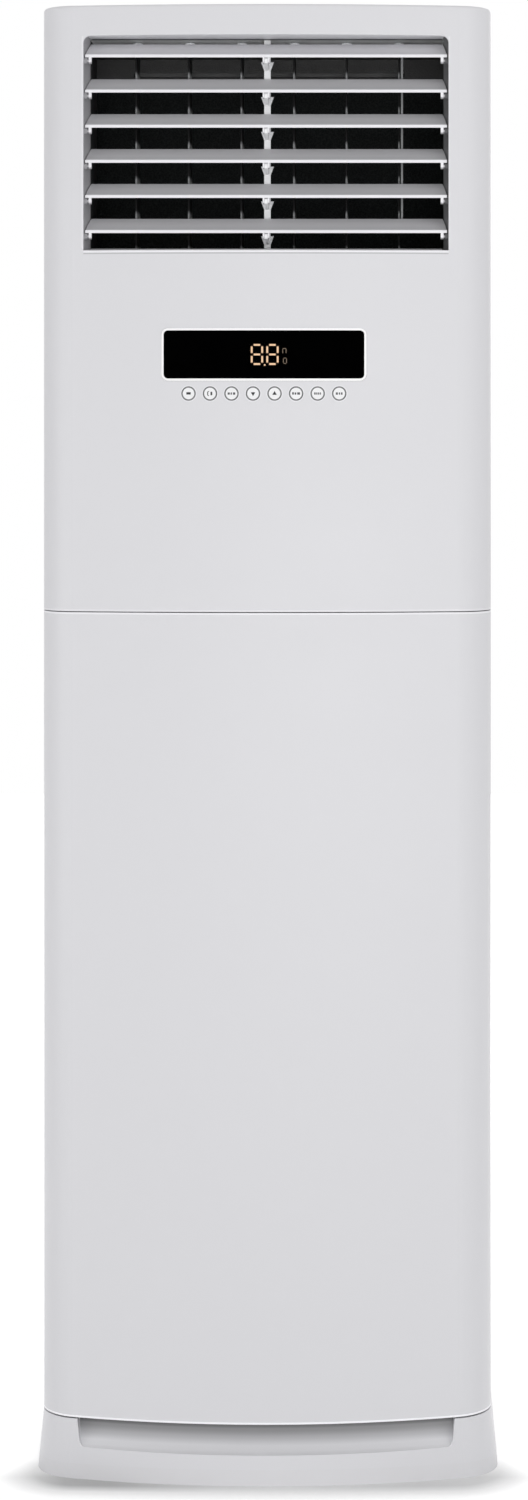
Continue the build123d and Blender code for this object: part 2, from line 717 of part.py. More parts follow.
# ---- Air outlet frame ----
frame_flange_half = outlet_width / 2 + frame_wall + frame_flange
with BuildPart() as outlet_frame:
    with BuildSketch(wall_plane(frame_back)):
        with Locations((0, outlet_mid)):
            Rectangle(outlet_width + 2 * frame_wall, outlet_tall + 2 * frame_wall)
    extrude(amount=frame_depth)
    with BuildSketch(wall_plane(crown_y(frame_flange_half) + 2 * panel_wall)):
        with Locations((0, outlet_mid)):
            Rectangle(2 * frame_flange_half, outlet_tall + 2 * (frame_wall + frame_flange))
    extrude(amount=frame_depth)
    crown_skin = front_region(panel_wall + fit_gap, back_y)
    with BuildSketch(Plane.XY.offset(outlet_bottom - frame_depth)):
        add(crown_skin)
    extrude(amount=outlet_tall + 2 * frame_depth, mode=Mode.INTERSECT)
    # Keeps only a thin flange behind the panel around the tunnel
    with BuildPart(mode=Mode.PRIVATE) as behind:
        with BuildSketch(Plane.XY.offset(outlet_bottom - frame_depth)):
            add(front_region(panel_wall + fit_gap + frame_wall, back_y))
        extrude(amount=outlet_tall + 2 * frame_depth)
        with BuildSketch(wall_plane(back_y)):
            with Locations((0, outlet_mid)):
                Rectangle(outlet_width + 2 * frame_wall, outlet_tall + 2 * frame_wall)
        extrude(amount=2 * back_y, mode=Mode.SUBTRACT)
    add(behind.part, mode=Mode.SUBTRACT)
    # Straight mouth, then walls that lean inward to the back
    with BuildSketch(wall_plane(outlet_edge_y)) as mouth:
        with Locations((0, outlet_mid)):
            Rectangle(outlet_width, outlet_tall)
        fillet(mouth.vertices().group_by(Axis.Y)[-1], outlet_corner)
    extrude(amount=frame_depth, mode=Mode.SUBTRACT)
    with BuildSketch(wall_plane(outlet_edge_y)) as wide:
        with Locations((0, outlet_mid)):
            Rectangle(outlet_width, outlet_tall)
        fillet(wide.vertices().group_by(Axis.Y)[-1], outlet_corner)
    with BuildSketch(wall_plane(frame_back)) as narrow:
        with Locations((0, duct_mid)):
            Rectangle(2 * duct_half, duct_top - duct_floor)
        fillet(narrow.vertices().group_by(Axis.Y)[-1], outlet_corner / 3)
    loft(mode=Mode.SUBTRACT)
    # Bosses and bores for the louvre pins
    for side in (-1, 1):
        with BuildSketch(Plane.YZ.offset(side * (outlet_width / 2 + frame_wall))):
            with Locations(*[(louvre_pivot_y, lip - louvre_pivot_drop) for lip in louvre_lips]):
                RegularPolygon(boss_radius, 8)
        extrude(amount=-side * (frame_wall + ear_inset - boss_gap))
        with BuildSketch(Plane.YZ.offset(side * (outlet_width / 2 + 2 * frame_wall))):
            with Locations(*[(louvre_pivot_y, lip - louvre_pivot_drop) for lip in louvre_lips]):
                Circle(pin_radius + pin_clearance)
        extrude(amount=-side * (3 * frame_wall + ear_inset), mode=Mode.SUBTRACT)
save(outlet_frame, "outlet_frame")

# ---- Centre post with a bracket to each louvre ----
blade_reach = sqrt((blade_run - louvre_pivot_back) ** 2 + (blade_rise + louvre_pivot_drop) ** 2)
post_front = louvre_pivot_y + blade_reach + post_gap
with BuildPart() as centre_post:
    block((-post_width / 2, post_width / 2), (post_front, post_front + post_depth),
          (duct_floor + seat, duct_top - seat))
    for lip in louvre_lips:
        pivot_z = lip - louvre_pivot_drop
        with BuildSketch(Plane.YZ.offset(-post_width / 4)):
            with BuildLine():
                Polyline((louvre_pivot_y - bracket_nose, pivot_z + bracket_crest),
                         (louvre_pivot_y + bracket_nose, pivot_z + bracket_crest),
                         (post_front, pivot_z + pin_radius), (post_front, pivot_z - bracket_drop),
                         (louvre_pivot_y + pin_radius, pivot_z - bracket_nose),
                         (louvre_pivot_y - bracket_nose, pivot_z - bracket_nose), close=True)
            make_face()
            with Locations((louvre_pivot_y, pivot_z)):
                Circle(pin_radius + pin_clearance, mode=Mode.SUBTRACT)
        extrude(amount=post_width / 2)
        # Funnel that widens towards the top of the bracket
        with BuildSketch(wall_plane(post_front + sheet)):
            with BuildLine():
                Polyline((-bracket_width / 2, pivot_z + pin_radius),
                         (-post_width / 2, pivot_z - bracket_drop),
                         (post_width / 2, pivot_z - bracket_drop),
                         (bracket_width / 2, pivot_z + pin_radius), close=True)
            make_face()
        extrude(amount=-sheet)
save(centre_post, "centre_post")


# ---- Horizontal louvres ----
def blade_profile(lip):
    # Cambered section from the front lip up to the rear edge, thinning towards the back
    rear = (lip_y + blade_run, lip + blade_rise)
    front_top = (lip_y + lip_depth, lip + lip_height)
    middle = ((front_top[0] + rear[0]) / 2, (front_top[1] + rear[1]) / 2 + blade_camber)
    slope = atan2(blade_rise - lip_height, blade_run - lip_depth)
    below = (blade_thickness * sin(slope), -blade_thickness * cos(slope))
    rear_low = (rear[0] + below[0] / 2, rear[1] + below[1] / 2)
    middle_low = (middle[0] + below[0], middle[1] + below[1])
    front_low = (front_top[0] + below[0], front_top[1] + below[1])
    with BuildSketch(mode=Mode.PRIVATE) as section:
        with BuildLine():
            ThreePointArc(front_top, middle, rear)
            Line(rear, rear_low)
            ThreePointArc(rear_low, middle_low, front_low)
            Polyline(front_low, (lip_y + lip_depth, lip), (lip_y, lip), (lip_y, lip + lip_height), front_top)
        make_face()
    return section.sketch


def cross_pin(x_span, place, radius):
    # Round pin along X, with its axis at place in the side view
    middle = ((x_span[0] + x_span[1]) / 2, place[0], place[1])
    with Locations(Plane(origin=middle, z_dir=(1, 0, 0))):
        Cylinder(radius, abs(x_span[1] - x_span[0]))


front_half = outlet_width / 2 - blade_end_gap
rear_half = duct_half - 1.5 * blade_end_gap
ear_x = outlet_width / 2 - ear_inset
centre_ear_x = post_width / 4 + seat
crank_y = louvre_pivot_y + crank_back
for number, lip in enumerate(louvre_lips, start=1):
    pivot = (louvre_pivot_y, lip - louvre_pivot_drop)
    crank = (crank_y, pivot[1] + crank_rise)
    root = (lip_y + blade_run - blade_thickness / 2, lip + blade_rise - blade_thickness / 2)
    with BuildPart() as louvre:
        with BuildSketch(Plane.YZ):
            add(blade_profile(lip))
        extrude(amount=outlet_width / 2, both=True)
        with BuildSketch(Plane.XY.offset(lip - louvre_pitch)):
            with BuildLine():
                Polyline((-front_half, front_y), (front_half, front_y),
                         (front_half, outlet_edge_y), (rear_half, lip_y + blade_run + lip_depth),
                         (-rear_half, lip_y + blade_run + lip_depth), (-front_half, outlet_edge_y),
                         close=True)
            make_face()
        extrude(amount=2 * louvre_pitch, mode=Mode.INTERSECT)
        # Ears under the lip: one at each end and a pair astride the centre bracket
        end_ear = (ear_x - end_ear_thickness, end_ear_thickness)
        for inner, thickness in (end_ear, (centre_ear_x, ear_thickness)):
            for side in (-1, 1):
                with BuildSketch(Plane.YZ.offset(side * inner)):
                    with BuildLine():
                        Polyline((lip_y + ear_step / 2, lip + lip_height / 2),
                                 (lip_y + ear_step, lip - ear_drop + pin_radius),
                                 (louvre_pivot_y + ear_step, lip - ear_drop),
                                 (louvre_pivot_y + ear_back, lip + lip_height + ear_back), close=True)
                    make_face()
                extrude(amount=side * thickness)
        cross_pin((ear_x, outlet_width / 2 + 2 * frame_wall / 3), pivot, pin_radius)
        cross_pin((-ear_x, -outlet_width / 2 - 2 * frame_wall / 3), pivot, pin_radius)
        cross_pin((-centre_ear_x, centre_ear_x), pivot, pin_radius)
        # Crank lug behind the rear edge, with the pin that takes the link
        with BuildSketch(Plane.YZ.offset(crank_x - ear_thickness)):
            with BuildLine():
                Polyline((root[0] - 3.5 * lug_reach, root[1] - 2 * lug_reach), root,
                         (crank[0] + lug_reach, crank[1] + lug_reach),
                         (crank[0] + lug_reach, crank[1] - lug_reach),
                         (crank[0] - 2 * lug_reach, crank[1] - 1.5 * lug_reach), close=True)
            make_face()
        extrude(amount=ear_thickness)
        cross_pin((crank_x, crank_x + link_thickness + 2 * seat), crank, crank_pin_radius)
    save(louvre, f"louvre_{number}")

link_low = louvre_lips[-1] - louvre_pivot_drop + crank_rise - link_width / 2
link_high = louvre_lips[0] - louvre_pivot_drop + crank_rise + link_width / 2
with BuildPart() as louvre_link:
    with BuildSketch(Plane.YZ.offset(crank_x + seat)):
        with Locations((crank_y, (link_low + link_high) / 2)):
            SlotOverall(link_high - link_low, link_width, rotation=90)
        with Locations(*[(crank_y, lip - louvre_pivot_drop + crank_rise) for lip in louvre_lips]):
            Circle(crank_pin_radius + pin_clearance, mode=Mode.SUBTRACT)
    extrude(amount=link_thickness)
save(louvre_link, "louvre_link")

# ---- Air duct behind the louvres ----
vane_pin_low = duct_floor - duct_wall
with BuildPart() as air_duct:
    with BuildSketch(wall_plane(duct_back)):
        with Locations((0, duct_mid)):
            Rectangle(2 * (duct_half + duct_wall), duct_top - duct_floor + 2 * duct_wall)
    extrude(amount=duct_depth)
    with BuildSketch(wall_plane(duct_front + duct_wall)):
        with Locations((0, outlet_mid)):
            Rectangle(2 * frame_flange_half, outlet_tall + 2 * (frame_wall + frame_flange))
    extrude(amount=duct_wall)
    with BuildSketch(wall_plane(duct_back + duct_wall)):
        with Locations((0, duct_mid)):
            Rectangle(2 * duct_half, duct_top - duct_floor)
    extrude(amount=duct_depth + 2 * duct_wall, mode=Mode.SUBTRACT)
    with BuildSketch(Plane.XY.offset(duct_floor - 2 * duct_wall)):
        with Locations(*[(x, vane_pivot_y) for x in vane_places]):
            Circle(vane_pin_radius + pin_clearance)
    extrude(amount=duct_top - duct_floor + 4 * duct_wall, mode=Mode.SUBTRACT)
save(air_duct, "air_duct")

# ---- Vertical vanes, swung together by the tie bar ----
vane_low = duct_floor + vane_end_gap
vane_high = duct_top - vane_collar_height - 2 * vane_end_gap
for number, x in enumerate(vane_places, start=1):
    driven = number == vane_count
    top_pin = duct_top + duct_wall + (swing_motor_height / 2 if driven else -seat)
    with BuildPart() as vane:
        with BuildSketch(Plane.XY.offset(vane_low)) as plan:
            with Locations((x, vane_pivot_y)):
                Rectangle(vane_thickness, vane_chord)
            chamfer(plan.vertices(), vane_thickness / 4)
        extrude(amount=vane_high - vane_low)
        # Notch in the rear edge, with an upright pin for the tie bar
        notch_front = vane_pivot_y + vane_chord / 2 - notch_depth
        block((x - vane_thickness, x + vane_thickness), (notch_front, vane_pivot_y + vane_chord),
              (tie_height - notch_height / 2, tie_height + notch_height / 2), mode=Mode.SUBTRACT)
        with BuildSketch(Plane.XY.offset(tie_height - notch_height / 2)):
            with Locations((x, tie_y)):
                Circle(vane_thickness / 2)
        extrude(amount=notch_height)
        with BuildSketch(Plane.XY.offset(vane_high)):
            with Locations((x, vane_pivot_y)):
                Circle(vane_collar_radius)
        extrude(amount=vane_collar_height)
        with BuildSketch(Plane.XY.offset(vane_high)):
            with Locations((x, vane_pivot_y)):
                Circle(vane_pin_radius)
        extrude(amount=top_pin - vane_high)
        with BuildSketch(Plane.XY.offset(vane_pin_low + seat)):
            with Locations((x, vane_pivot_y)):
                Circle(vane_pin_radius)
        extrude(amount=vane_low - vane_pin_low)
    save(vane, f"vane_{number}")

with BuildPart() as vane_link:
    with BuildSketch(Plane.XY.offset(tie_height - tie_thickness / 2)):
        with Locations((0, tie_y)):
            SlotOverall((vane_count - 1) * vane_pitch + 2 * tie_width, tie_width)
        with Locations(*[(x, tie_y) for x in vane_places]):
            Circle(vane_thickness / 2 + pin_clearance, mode=Mode.SUBTRACT)
    extrude(amount=tie_thickness)
save(vane_link, "vane_link")

motor_base = duct_top + duct_wall + seat / 2
with BuildPart() as swing_motor:
    with BuildSketch(Plane.XY.offset(motor_base)):
        with Locations((vane_places[-1], vane_pivot_y)):
            Circle(swing_motor_radius)
            SlotOverall(3 * swing_motor_radius, swing_motor_radius / 2)
    extrude(amount=sheet)
    with BuildSketch(Plane.XY.offset(motor_base)):
        with Locations((vane_places[-1], vane_pivot_y)):
            Circle(swing_motor_radius)
    extrude(amount=swing_motor_height)
    with BuildSketch(Plane.XY.offset(motor_base - seat)):
        with Locations((vane_places[-1], vane_pivot_y)):
            Circle(vane_pin_radius + pin_clearance)
    extrude(amount=swing_motor_height * 0.7, mode=Mode.SUBTRACT)
save(swing_motor, "swing_motor")


# ---- Display ----
def crowned_plate(inset, thickness, bottom_z, top_z):
    # A slice of constant thickness that follows the crown of the front
    with BuildPart(mode=Mode.PRIVATE) as plate:
        with BuildSketch(Plane.XY.offset(bottom_z)):
            add(front_region(inset, side_y))
            add(front_region(inset + thickness, side_y + side_gap), mode=Mode.SUBTRACT)
        extrude(amount=top_z - bottom_z)
    return plate.part


window_low = window_height_centre - window_height / 2
window_high = window_height_centre + window_height / 2
with BuildPart() as display_bezel:
    add(crowned_plate(-seat, bezel_depth + seat, window_low - 3 * bezel_rim, window_high + 3 * bezel_rim))
    with BuildSketch(wall_plane(side_y)):
        with Locations((controls_shift, window_height_centre)):
            RectangleRounded(window_width + 2 * bezel_rim, window_height + 2 * bezel_rim,
                             window_corner + bezel_rim)
    extrude(amount=2 * front_zone, mode=Mode.INTERSECT)
    with BuildSketch(wall_plane(side_y)):
        with Locations((controls_shift, window_height_centre)):
            RectangleRounded(window_width - 2 * bezel_ledge, window_height - 2 * bezel_ledge, window_corner)
    extrude(amount=2 * front_zone, mode=Mode.SUBTRACT)
    with BuildPart(mode=Mode.PRIVATE) as lens_seat:
        add(crowned_plate(-2 * seat, window_thickness + 3 * seat, window_low - seat, window_high + seat))
        with BuildSketch(wall_plane(side_y)):
            with Locations((controls_shift, window_height_centre)):
                RectangleRounded(window_width + 2 * fit_gap, window_height + 2 * fit_gap, window_corner)
        extrude(amount=2 * front_zone, mode=Mode.INTERSECT)
    add(lens_seat.part, mode=Mode.SUBTRACT)
save(display_bezel, "display_bezel")

with BuildPart() as display_window:
    add(crowned_plate(fit_gap, window_thickness, window_low - seat, window_high + seat))
    with BuildSketch(wall_plane(side_y)):
        with Locations((controls_shift, window_height_centre)):
            RectangleRounded(window_width, window_height, window_corner)
    extrude(amount=2 * front_zone, mode=Mode.INTERSECT)
save(display_window, "display_window")

digit_front = front_y + fit_gap + window_thickness + 2 * seat
digit_mid = controls_shift + digit_shift
digit_places = [digit_mid - digit_pitch / 2, digit_mid + digit_pitch / 2]
segment_gap = 0.5
with BuildPart() as display_digits:
    with BuildSketch(wall_plane(digit_front + digit_relief)):
        bar = digit_width - digit_stroke
        stem_length = digit_height / 2 - digit_stroke / 2
        for x in digit_places:
            for rise in (-1, 0, 1):
                with Locations((x, window_height_centre + rise * stem_length)):
                    Rectangle(bar - 2 * segment_gap, digit_stroke)
            for rise in (-1, 1):
                for side in (-1, 1):
                    with Locations((x + side * bar / 2 + side * digit_stroke / 2,
                                    window_height_centre + rise * stem_length / 2)):
                        Rectangle(digit_stroke, stem_length - digit_stroke / 2)
        with Locations((digit_mid, window_height_centre - digit_height / 2)):
            Rectangle(digit_stroke * 0.8, digit_stroke * 0.8)
    extrude(amount=digit_relief)
save(display_digits, "display_digits")

with BuildPart() as control_board:
    with BuildSketch(wall_plane(board_y)):
        with Locations((controls_shift, (window_height_centre + button_height) / 2)):
            Rectangle(board_width, board_height)
    extrude(amount=-board_thickness)
    with BuildSketch(wall_plane(board_y)):
        with Locations((digit_mid, window_height_centre)):
            Rectangle(module_width, module_height)
    extrude(amount=board_y - digit_front - digit_relief)
    for x in button_places:
        face = crown_y(abs(x) + button_radius) - button_proud
        stem_end = face + button_length + panel_wall
        with BuildSketch(wall_plane(board_y)):
            with Locations((x, button_height)):
                Rectangle(switch_width, switch_width)
        extrude(amount=board_y - stem_end - button_travel - seat)
save(control_board, "control_board")

# ---- Push buttons ----
for number, x in enumerate(button_places, start=1):
    face = crown_y(abs(x) + button_radius) - button_proud
    stem_end = face + button_length + panel_wall
    with BuildPart() as button:
        with BuildSketch(wall_plane(face + button_length)):
            with Locations((x, button_height)):
                Circle(button_radius)
        extrude(amount=button_length)
        # Crosswise stop behind the panel, and the plunger that works the switch
        with BuildSketch(wall_plane(face + button_length + stop_thickness / 2)):
            with Locations((x, button_height)):
                Rectangle(stop_width, stop_height)
        extrude(amount=stop_thickness)
        with BuildSketch(wall_plane(stem_end)):
            with Locations((x, button_height)):
                Rectangle(stem_width, stem_width)
        extrude(amount=panel_wall)
    save(button, f"button_{number}")


# ---- Fan: spiral housing, bladed wheel, shaft, motor and its bracket ----
def spiral_outline(grow):
    # Three tangent arcs that open out from the tongue, then a straight throat up to the deck
    start = scroll_start + grow
    step = scroll_step
    tongue = radians(tongue_angle)
    tongue_point = (fan_y - start * cos(tongue), fan_height + start * sin(tongue))
    front = (fan_y - start, fan_height)
    bottom = (fan_y + step, fan_height - start - step)
    rear = (fan_y + start + 3 * step, fan_height + step)
    slant = sin(radians(45))
    between_1 = (fan_y - start * cos(tongue / 2), fan_height + start * sin(tongue / 2))
    between_2 = (fan_y + step - (start + step) * slant, fan_height - (start + step) * slant)
    between_3 = (fan_y + step + (start + 2 * step) * slant, fan_height + step - (start + 2 * step) * slant)
    with BuildSketch(mode=Mode.PRIVATE) as outline:
        with BuildLine():
            ThreePointArc(tongue_point, between_1, front)
            ThreePointArc(front, between_2, bottom)
            ThreePointArc(bottom, between_3, (fan_y + start + 3 * step, fan_height + step))
            Polyline(rear, (rear[0], deck_height - seat), (fan_y - throat_front - grow, deck_height - seat),
                     tongue_point)
        make_face()
    return outline.sketch


def draw_spiral(half, grow):
    with BuildPart(mode=Mode.PRIVATE) as body:
        with BuildSketch(Plane.YZ):
            add(spiral_outline(grow))
        extrude(amount=half, both=True)
    return body.part


with BuildPart() as fan_scroll:
    add(draw_spiral(scroll_half, 0.0))
    add(draw_spiral(scroll_half - scroll_wall, -scroll_wall), mode=Mode.SUBTRACT)
    block((-scroll_half + scroll_wall, scroll_half - scroll_wall),
          (throat_y[0] + 2 * scroll_wall, throat_y[1] - scroll_wall),
          (deck_height - 4 * scroll_wall, deck_height), mode=Mode.SUBTRACT)
    with BuildSketch(Plane.YZ):
        with Locations((fan_y, fan_height)):
            Circle(scroll_inlet)
    extrude(amount=2 * scroll_half, both=True, mode=Mode.SUBTRACT)
    # Feet that stand on the base pan
    for x in (-scroll_half + return_width, scroll_half - return_width):
        for y in (fan_y + scroll_step - scroll_inlet / 2, fan_y + scroll_step + scroll_inlet / 2):
            block((x - return_width / 2, x + return_width / 2), (y - return_width / 2, y + return_width / 2),
                  (3 * sheet + seat, fan_height - scroll_start - scroll_step + return_width))
    add(draw_spiral(scroll_half - scroll_wall, -scroll_wall), mode=Mode.SUBTRACT)
save(fan_scroll, "fan_scroll")

inner_radius = wheel_radius - fan_blade_depth
bow_radii = (inner_radius + fan_blade_depth / 3, inner_radius + 2 * fan_blade_depth / 3)
with BuildSketch() as fan_blade:
    with BuildLine():
        Polyline((inner_radius, 0), (bow_radii[0], -fan_blade_bow), (bow_radii[1], -fan_blade_bow),
                 (wheel_radius, fan_blade_thickness), (wheel_radius, 2 * fan_blade_thickness),
                 (bow_radii[1], fan_blade_thickness - fan_blade_bow),
                 (bow_radii[0], fan_blade_thickness - fan_blade_bow), (inner_radius, fan_blade_thickness),
                 close=True)
    make_face()

with BuildPart() as fan_wheel:
    with BuildSketch(Plane.YZ):
        with Locations((fan_y, fan_height)):
            Circle(wheel_radius)
            Circle(hub_radius / 2, mode=Mode.SUBTRACT)
    extrude(amount=disc_thickness / 2, both=True)
    with BuildSketch(Plane.YZ):
        with Locations((fan_y, fan_height)):
            Circle(hub_radius)
    extrude(amount=hub_length / 2, both=True)
    # Forward-curved blades on both sides of the disc
    with BuildSketch(Plane.YZ):
        with Locations((fan_y, fan_height)):
            with PolarLocations(0, blade_count):
                add(fan_blade.sketch)
    extrude(amount=wheel_width / 2 - ring_height / 2, both=True)
    for side in (-1, 1):
        with BuildSketch(Plane.YZ.offset(side * wheel_width / 2)):
            with Locations((fan_y, fan_height)):
                Circle(wheel_radius + ring_lip)
                Circle(wheel_radius - fan_blade_depth / 2, mode=Mode.SUBTRACT)
        extrude(amount=-side * ring_height)
    with BuildSketch(Plane.YZ):
        with Locations((fan_y, fan_height)):
            Circle(shaft_radius)
    extrude(amount=hub_length, both=True, mode=Mode.SUBTRACT)
save(fan_wheel, "fan_wheel")

motor_face = scroll_half + motor_gap
with BuildPart() as fan_shaft:
    with BuildSketch(Plane.YZ.offset(-hub_length / 2 - 4 * seat)):
        with Locations((fan_y, fan_height)):
            Circle(shaft_radius)
    extrude(amount=motor_face + motor_length / 2 + hub_length / 2)
save(fan_shaft, "fan_shaft")

with BuildPart() as fan_motor:
    with BuildSketch(Plane.YZ.offset(motor_face)):
        with Locations((fan_y, fan_height)):
            Circle(motor_radius)
    extrude(amount=motor_length)
    chamfer(fan_motor.edges().filter_by(GeomType.CIRCLE), motor_edge)
    with BuildSketch(Plane.YZ.offset(motor_face - seat)):
        with Locations((fan_y, fan_height)):
            Circle(shaft_radius + shaft_fit)
    extrude(amount=motor_length / 2 + 4 * sheet, mode=Mode.SUBTRACT)
save(fan_motor, "fan_motor")

band_x = motor_face + motor_length / 2 - bracket_band / 2
with BuildPart() as motor_bracket:
    with BuildSketch(Plane.YZ.offset(band_x)):
        with Locations((fan_y, fan_height)):
            Circle(motor_radius + seat + bracket_sheet)
            Circle(motor_radius + seat, mode=Mode.SUBTRACT)
    extrude(amount=bracket_band)
    arm_end = scroll_inlet + 2 * bracket_arm
    arm_x = scroll_half + seat
    for turn in (90, 210, 330):
        outward = (0, cos(radians(turn)), sin(radians(turn)))
        arm_plane = Plane(origin=(arm_x, fan_y, fan_height), x_dir=outward, z_dir=(1, 0, 0))
        with BuildSketch(arm_plane):
            with Locations(((motor_radius + seat + arm_end) / 2, 0)):
                Rectangle(arm_end - motor_radius - seat, bracket_arm)
        extrude(amount=bracket_sheet)
        with BuildSketch(arm_plane):
            with Locations((motor_radius + seat + bracket_sheet, 0)):
                Rectangle(2 * bracket_sheet, bracket_arm)
        extrude(amount=band_x + bracket_band - arm_x)
    with BuildSketch(Plane.YZ.offset(arm_x - seat)):
        with Locations((fan_y, fan_height)):
            Circle(motor_radius + seat)
    extrude(amount=2 * motor_length, mode=Mode.SUBTRACT)
save(motor_bracket, "motor_bracket")

# ---- Cooling coil: sloping fin pack, end plates, return bends, drain pan and pipes ----
coil_run = (coil_top[0] - coil_bottom[0], coil_top[1] - coil_bottom[1])
coil_length = sqrt(coil_run[0] ** 2 + coil_run[1] ** 2)
bend_pitch = coil_length / (bend_count + bend_spare)
along = (coil_run[0] / coil_length, coil_run[1] / coil_length)
coil_plane = Plane(origin=(0, coil_bottom[0], coil_bottom[1]), x_dir=(0, along[0], along[1]), z_dir=(1, 0, 0))

with BuildPart() as coil_fins:
    with BuildSketch(coil_plane):
        with Locations((coil_length / 2, 0)):
            Rectangle(coil_length, coil_thickness)
    extrude(amount=coil_width / 2, both=True)
save(coil_fins, "coil_fins")

pan_floor = drain_pan_height + drain_wall
with BuildPart() as coil_end_plates:
    for side in (-1, 1):
        plate_plane = coil_plane.offset(side * (coil_width / 2 + seat / 3))
        with BuildSketch(plate_plane):
            with Locations((coil_length / 2, 0)):
                Rectangle(coil_length + 2 * return_width, coil_thickness + return_width)
        extrude(amount=side * end_plate)
        # Foot that stands in the drain pan
        plate_x = side * (coil_width / 2 + seat / 3)
        block((plate_x, plate_x + side * end_plate),
              (coil_bottom[0] - return_width, coil_bottom[0] + return_width), (pan_floor + seat, coil_bottom[1]))
save(coil_end_plates, "coil_end_plates")

bend_x = coil_width / 2 + seat / 3 + end_plate + seat / 3
bend_span = (coil_length - (bend_count - 1) * bend_pitch) / 2
with BuildPart() as coil_tubes:
    for n in range(bend_count):
        middle = bend_span + n * bend_pitch
        with BuildSketch(coil_plane.offset(bend_x)):
            with Locations((middle - bend_radius, 0)):
                RegularPolygon(tube_radius, tube_sides)
        hinge_point = coil_plane.offset(bend_x).from_local_coords((middle, 0, 0))
        normal = Vector(0, -along[1], along[0])
        revolve(axis=Axis(hinge_point, normal), revolution_arc=180)
save(coil_tubes, "coil_tubes")

pan_front_y = coil_bottom[0] - coil_thickness
pan_depth_y = 2.6 * coil_thickness
drain_half = body_half - return_width - seat
spigot_y = pan_front_y + pan_depth_y - 2 * spigot_radius - drain_wall
spigot_place = (-drain_half + 2 * drain_pan_depth, spigot_y)
with BuildPart() as drain_pan:
    block((-drain_half, drain_half), (pan_front_y, pan_front_y + pan_depth_y),
          (drain_pan_height, drain_pan_height + drain_pan_depth))
    offset(amount=-drain_wall, openings=drain_pan.faces().sort_by(Axis.Z)[-1])
    with BuildSketch(Plane.XY.offset(drain_pan_height - drain_pan_depth)):
        with Locations(spigot_place):
            Circle(spigot_radius)
    extrude(amount=drain_pan_depth + drain_wall / 2)
    with BuildSketch(Plane.XY.offset(drain_pan_height - drain_pan_depth)):
        with Locations(spigot_place):
            Circle(spigot_radius - drain_wall / 2)
    extrude(amount=2 * drain_pan_depth, mode=Mode.SUBTRACT)
save(drain_pan, "drain_pan")

with BuildPart() as refrigerant_pipes:
    for y, joint in zip(pipe_rows, pipe_joints):
        target = coil_plane.from_local_coords((bend_span + joint * bend_pitch, 0, 0))
        with BuildLine(mode=Mode.PRIVATE) as route:
            FilletPolyline((pipe_start, y, pipe_port[1]), (pipe_x, y, pipe_port[1]), (pipe_x, y, target.Z),
                           (pipe_x, target.Y, target.Z), (bend_x, target.Y, target.Z), radius=pipe_bend)
        with BuildSketch(Plane.YZ.offset(pipe_start)):
            with Locations((y, pipe_port[1])):
                RegularPolygon(pipe_radius, pipe_sides)
        sweep(path=route.wire())
save(refrigerant_pipes, "refrigerant_pipes")

# ---- Electrical box behind the lower panel ----
box_front = deck_front + seat
box_low = deck_height + sheet + seat
with BuildPart() as electrical_box:
    block((-box_width / 2 + seat, box_width / 2 - seat), (box_front + box_wall, box_front + box_depth),
          (box_low, box_low + box_height))
    offset(amount=-box_wall, openings=electrical_box.faces().sort_by(Axis.Y)[0])
save(electrical_box, "electrical_box")

with BuildPart() as electrical_box_lid:
    block((-box_width / 2 + seat, box_width / 2 - seat), (box_front, box_front + box_wall - seat),
          (box_low, box_low + box_height))
    with BuildSketch(wall_plane(box_front + box_wall)):
        with Locations((0, box_low + box_height / 2)):
            with GridLocations(box_height / 8, 0, 5, 1):
                Rectangle(box_height / 24, box_height / 2)
    extrude(amount=2 * box_wall, mode=Mode.SUBTRACT)
save(electrical_box_lid, "electrical_box_lid")

terminal_width = 90.0
terminal_height = 26.0
with BuildPart() as terminal_block:
    block((-terminal_width / 2, terminal_width / 2),
          (box_front + box_depth / 2, box_front + box_depth - box_wall),
          (box_low + box_wall, box_low + box_wall + terminal_height))
    with Locations((0, box_front + box_depth / 2, box_low + box_wall + terminal_height)):
        with GridLocations(terminal_width / 5, 0, 5, 1):
            Box(terminal_width / 7, box_depth / 3, terminal_height, mode=Mode.SUBTRACT)
save(terminal_block, "terminal_block")
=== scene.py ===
import json
import math

import bmesh
import bpy
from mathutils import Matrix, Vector


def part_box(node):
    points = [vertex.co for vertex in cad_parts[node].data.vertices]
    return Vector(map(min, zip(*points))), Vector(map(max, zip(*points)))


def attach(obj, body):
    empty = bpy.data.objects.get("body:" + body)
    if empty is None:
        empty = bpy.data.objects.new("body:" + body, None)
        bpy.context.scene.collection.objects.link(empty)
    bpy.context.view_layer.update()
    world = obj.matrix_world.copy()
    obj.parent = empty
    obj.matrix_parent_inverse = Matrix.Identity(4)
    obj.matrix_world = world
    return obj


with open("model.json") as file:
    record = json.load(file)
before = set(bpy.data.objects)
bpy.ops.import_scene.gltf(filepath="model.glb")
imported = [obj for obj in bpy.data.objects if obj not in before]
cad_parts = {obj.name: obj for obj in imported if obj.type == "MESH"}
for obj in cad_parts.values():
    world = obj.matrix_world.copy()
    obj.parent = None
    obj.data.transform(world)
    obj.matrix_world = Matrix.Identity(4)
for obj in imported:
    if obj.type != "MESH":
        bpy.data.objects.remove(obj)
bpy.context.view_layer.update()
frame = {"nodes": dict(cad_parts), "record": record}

nodes = frame["nodes"]
scene = bpy.context.scene
scene.view_settings.view_transform = "Standard"
print("frame loaded with", len(nodes), "nodes")


# ---------- camera, light and floor

cameraPlan = {
    "frontY": -0.189,      # the front panel's foremost line
    "distance": 4.0,       # level camera, this far in front of it
    "across": 0.170,
    "height": 1.3578,
    "focalPixels": 3168.0,
    "frame": (528, 1500),
    "axisPixel": (400.0, 410.0),   # where the camera's axis meets the picture
    "sensor": 36.0,
}


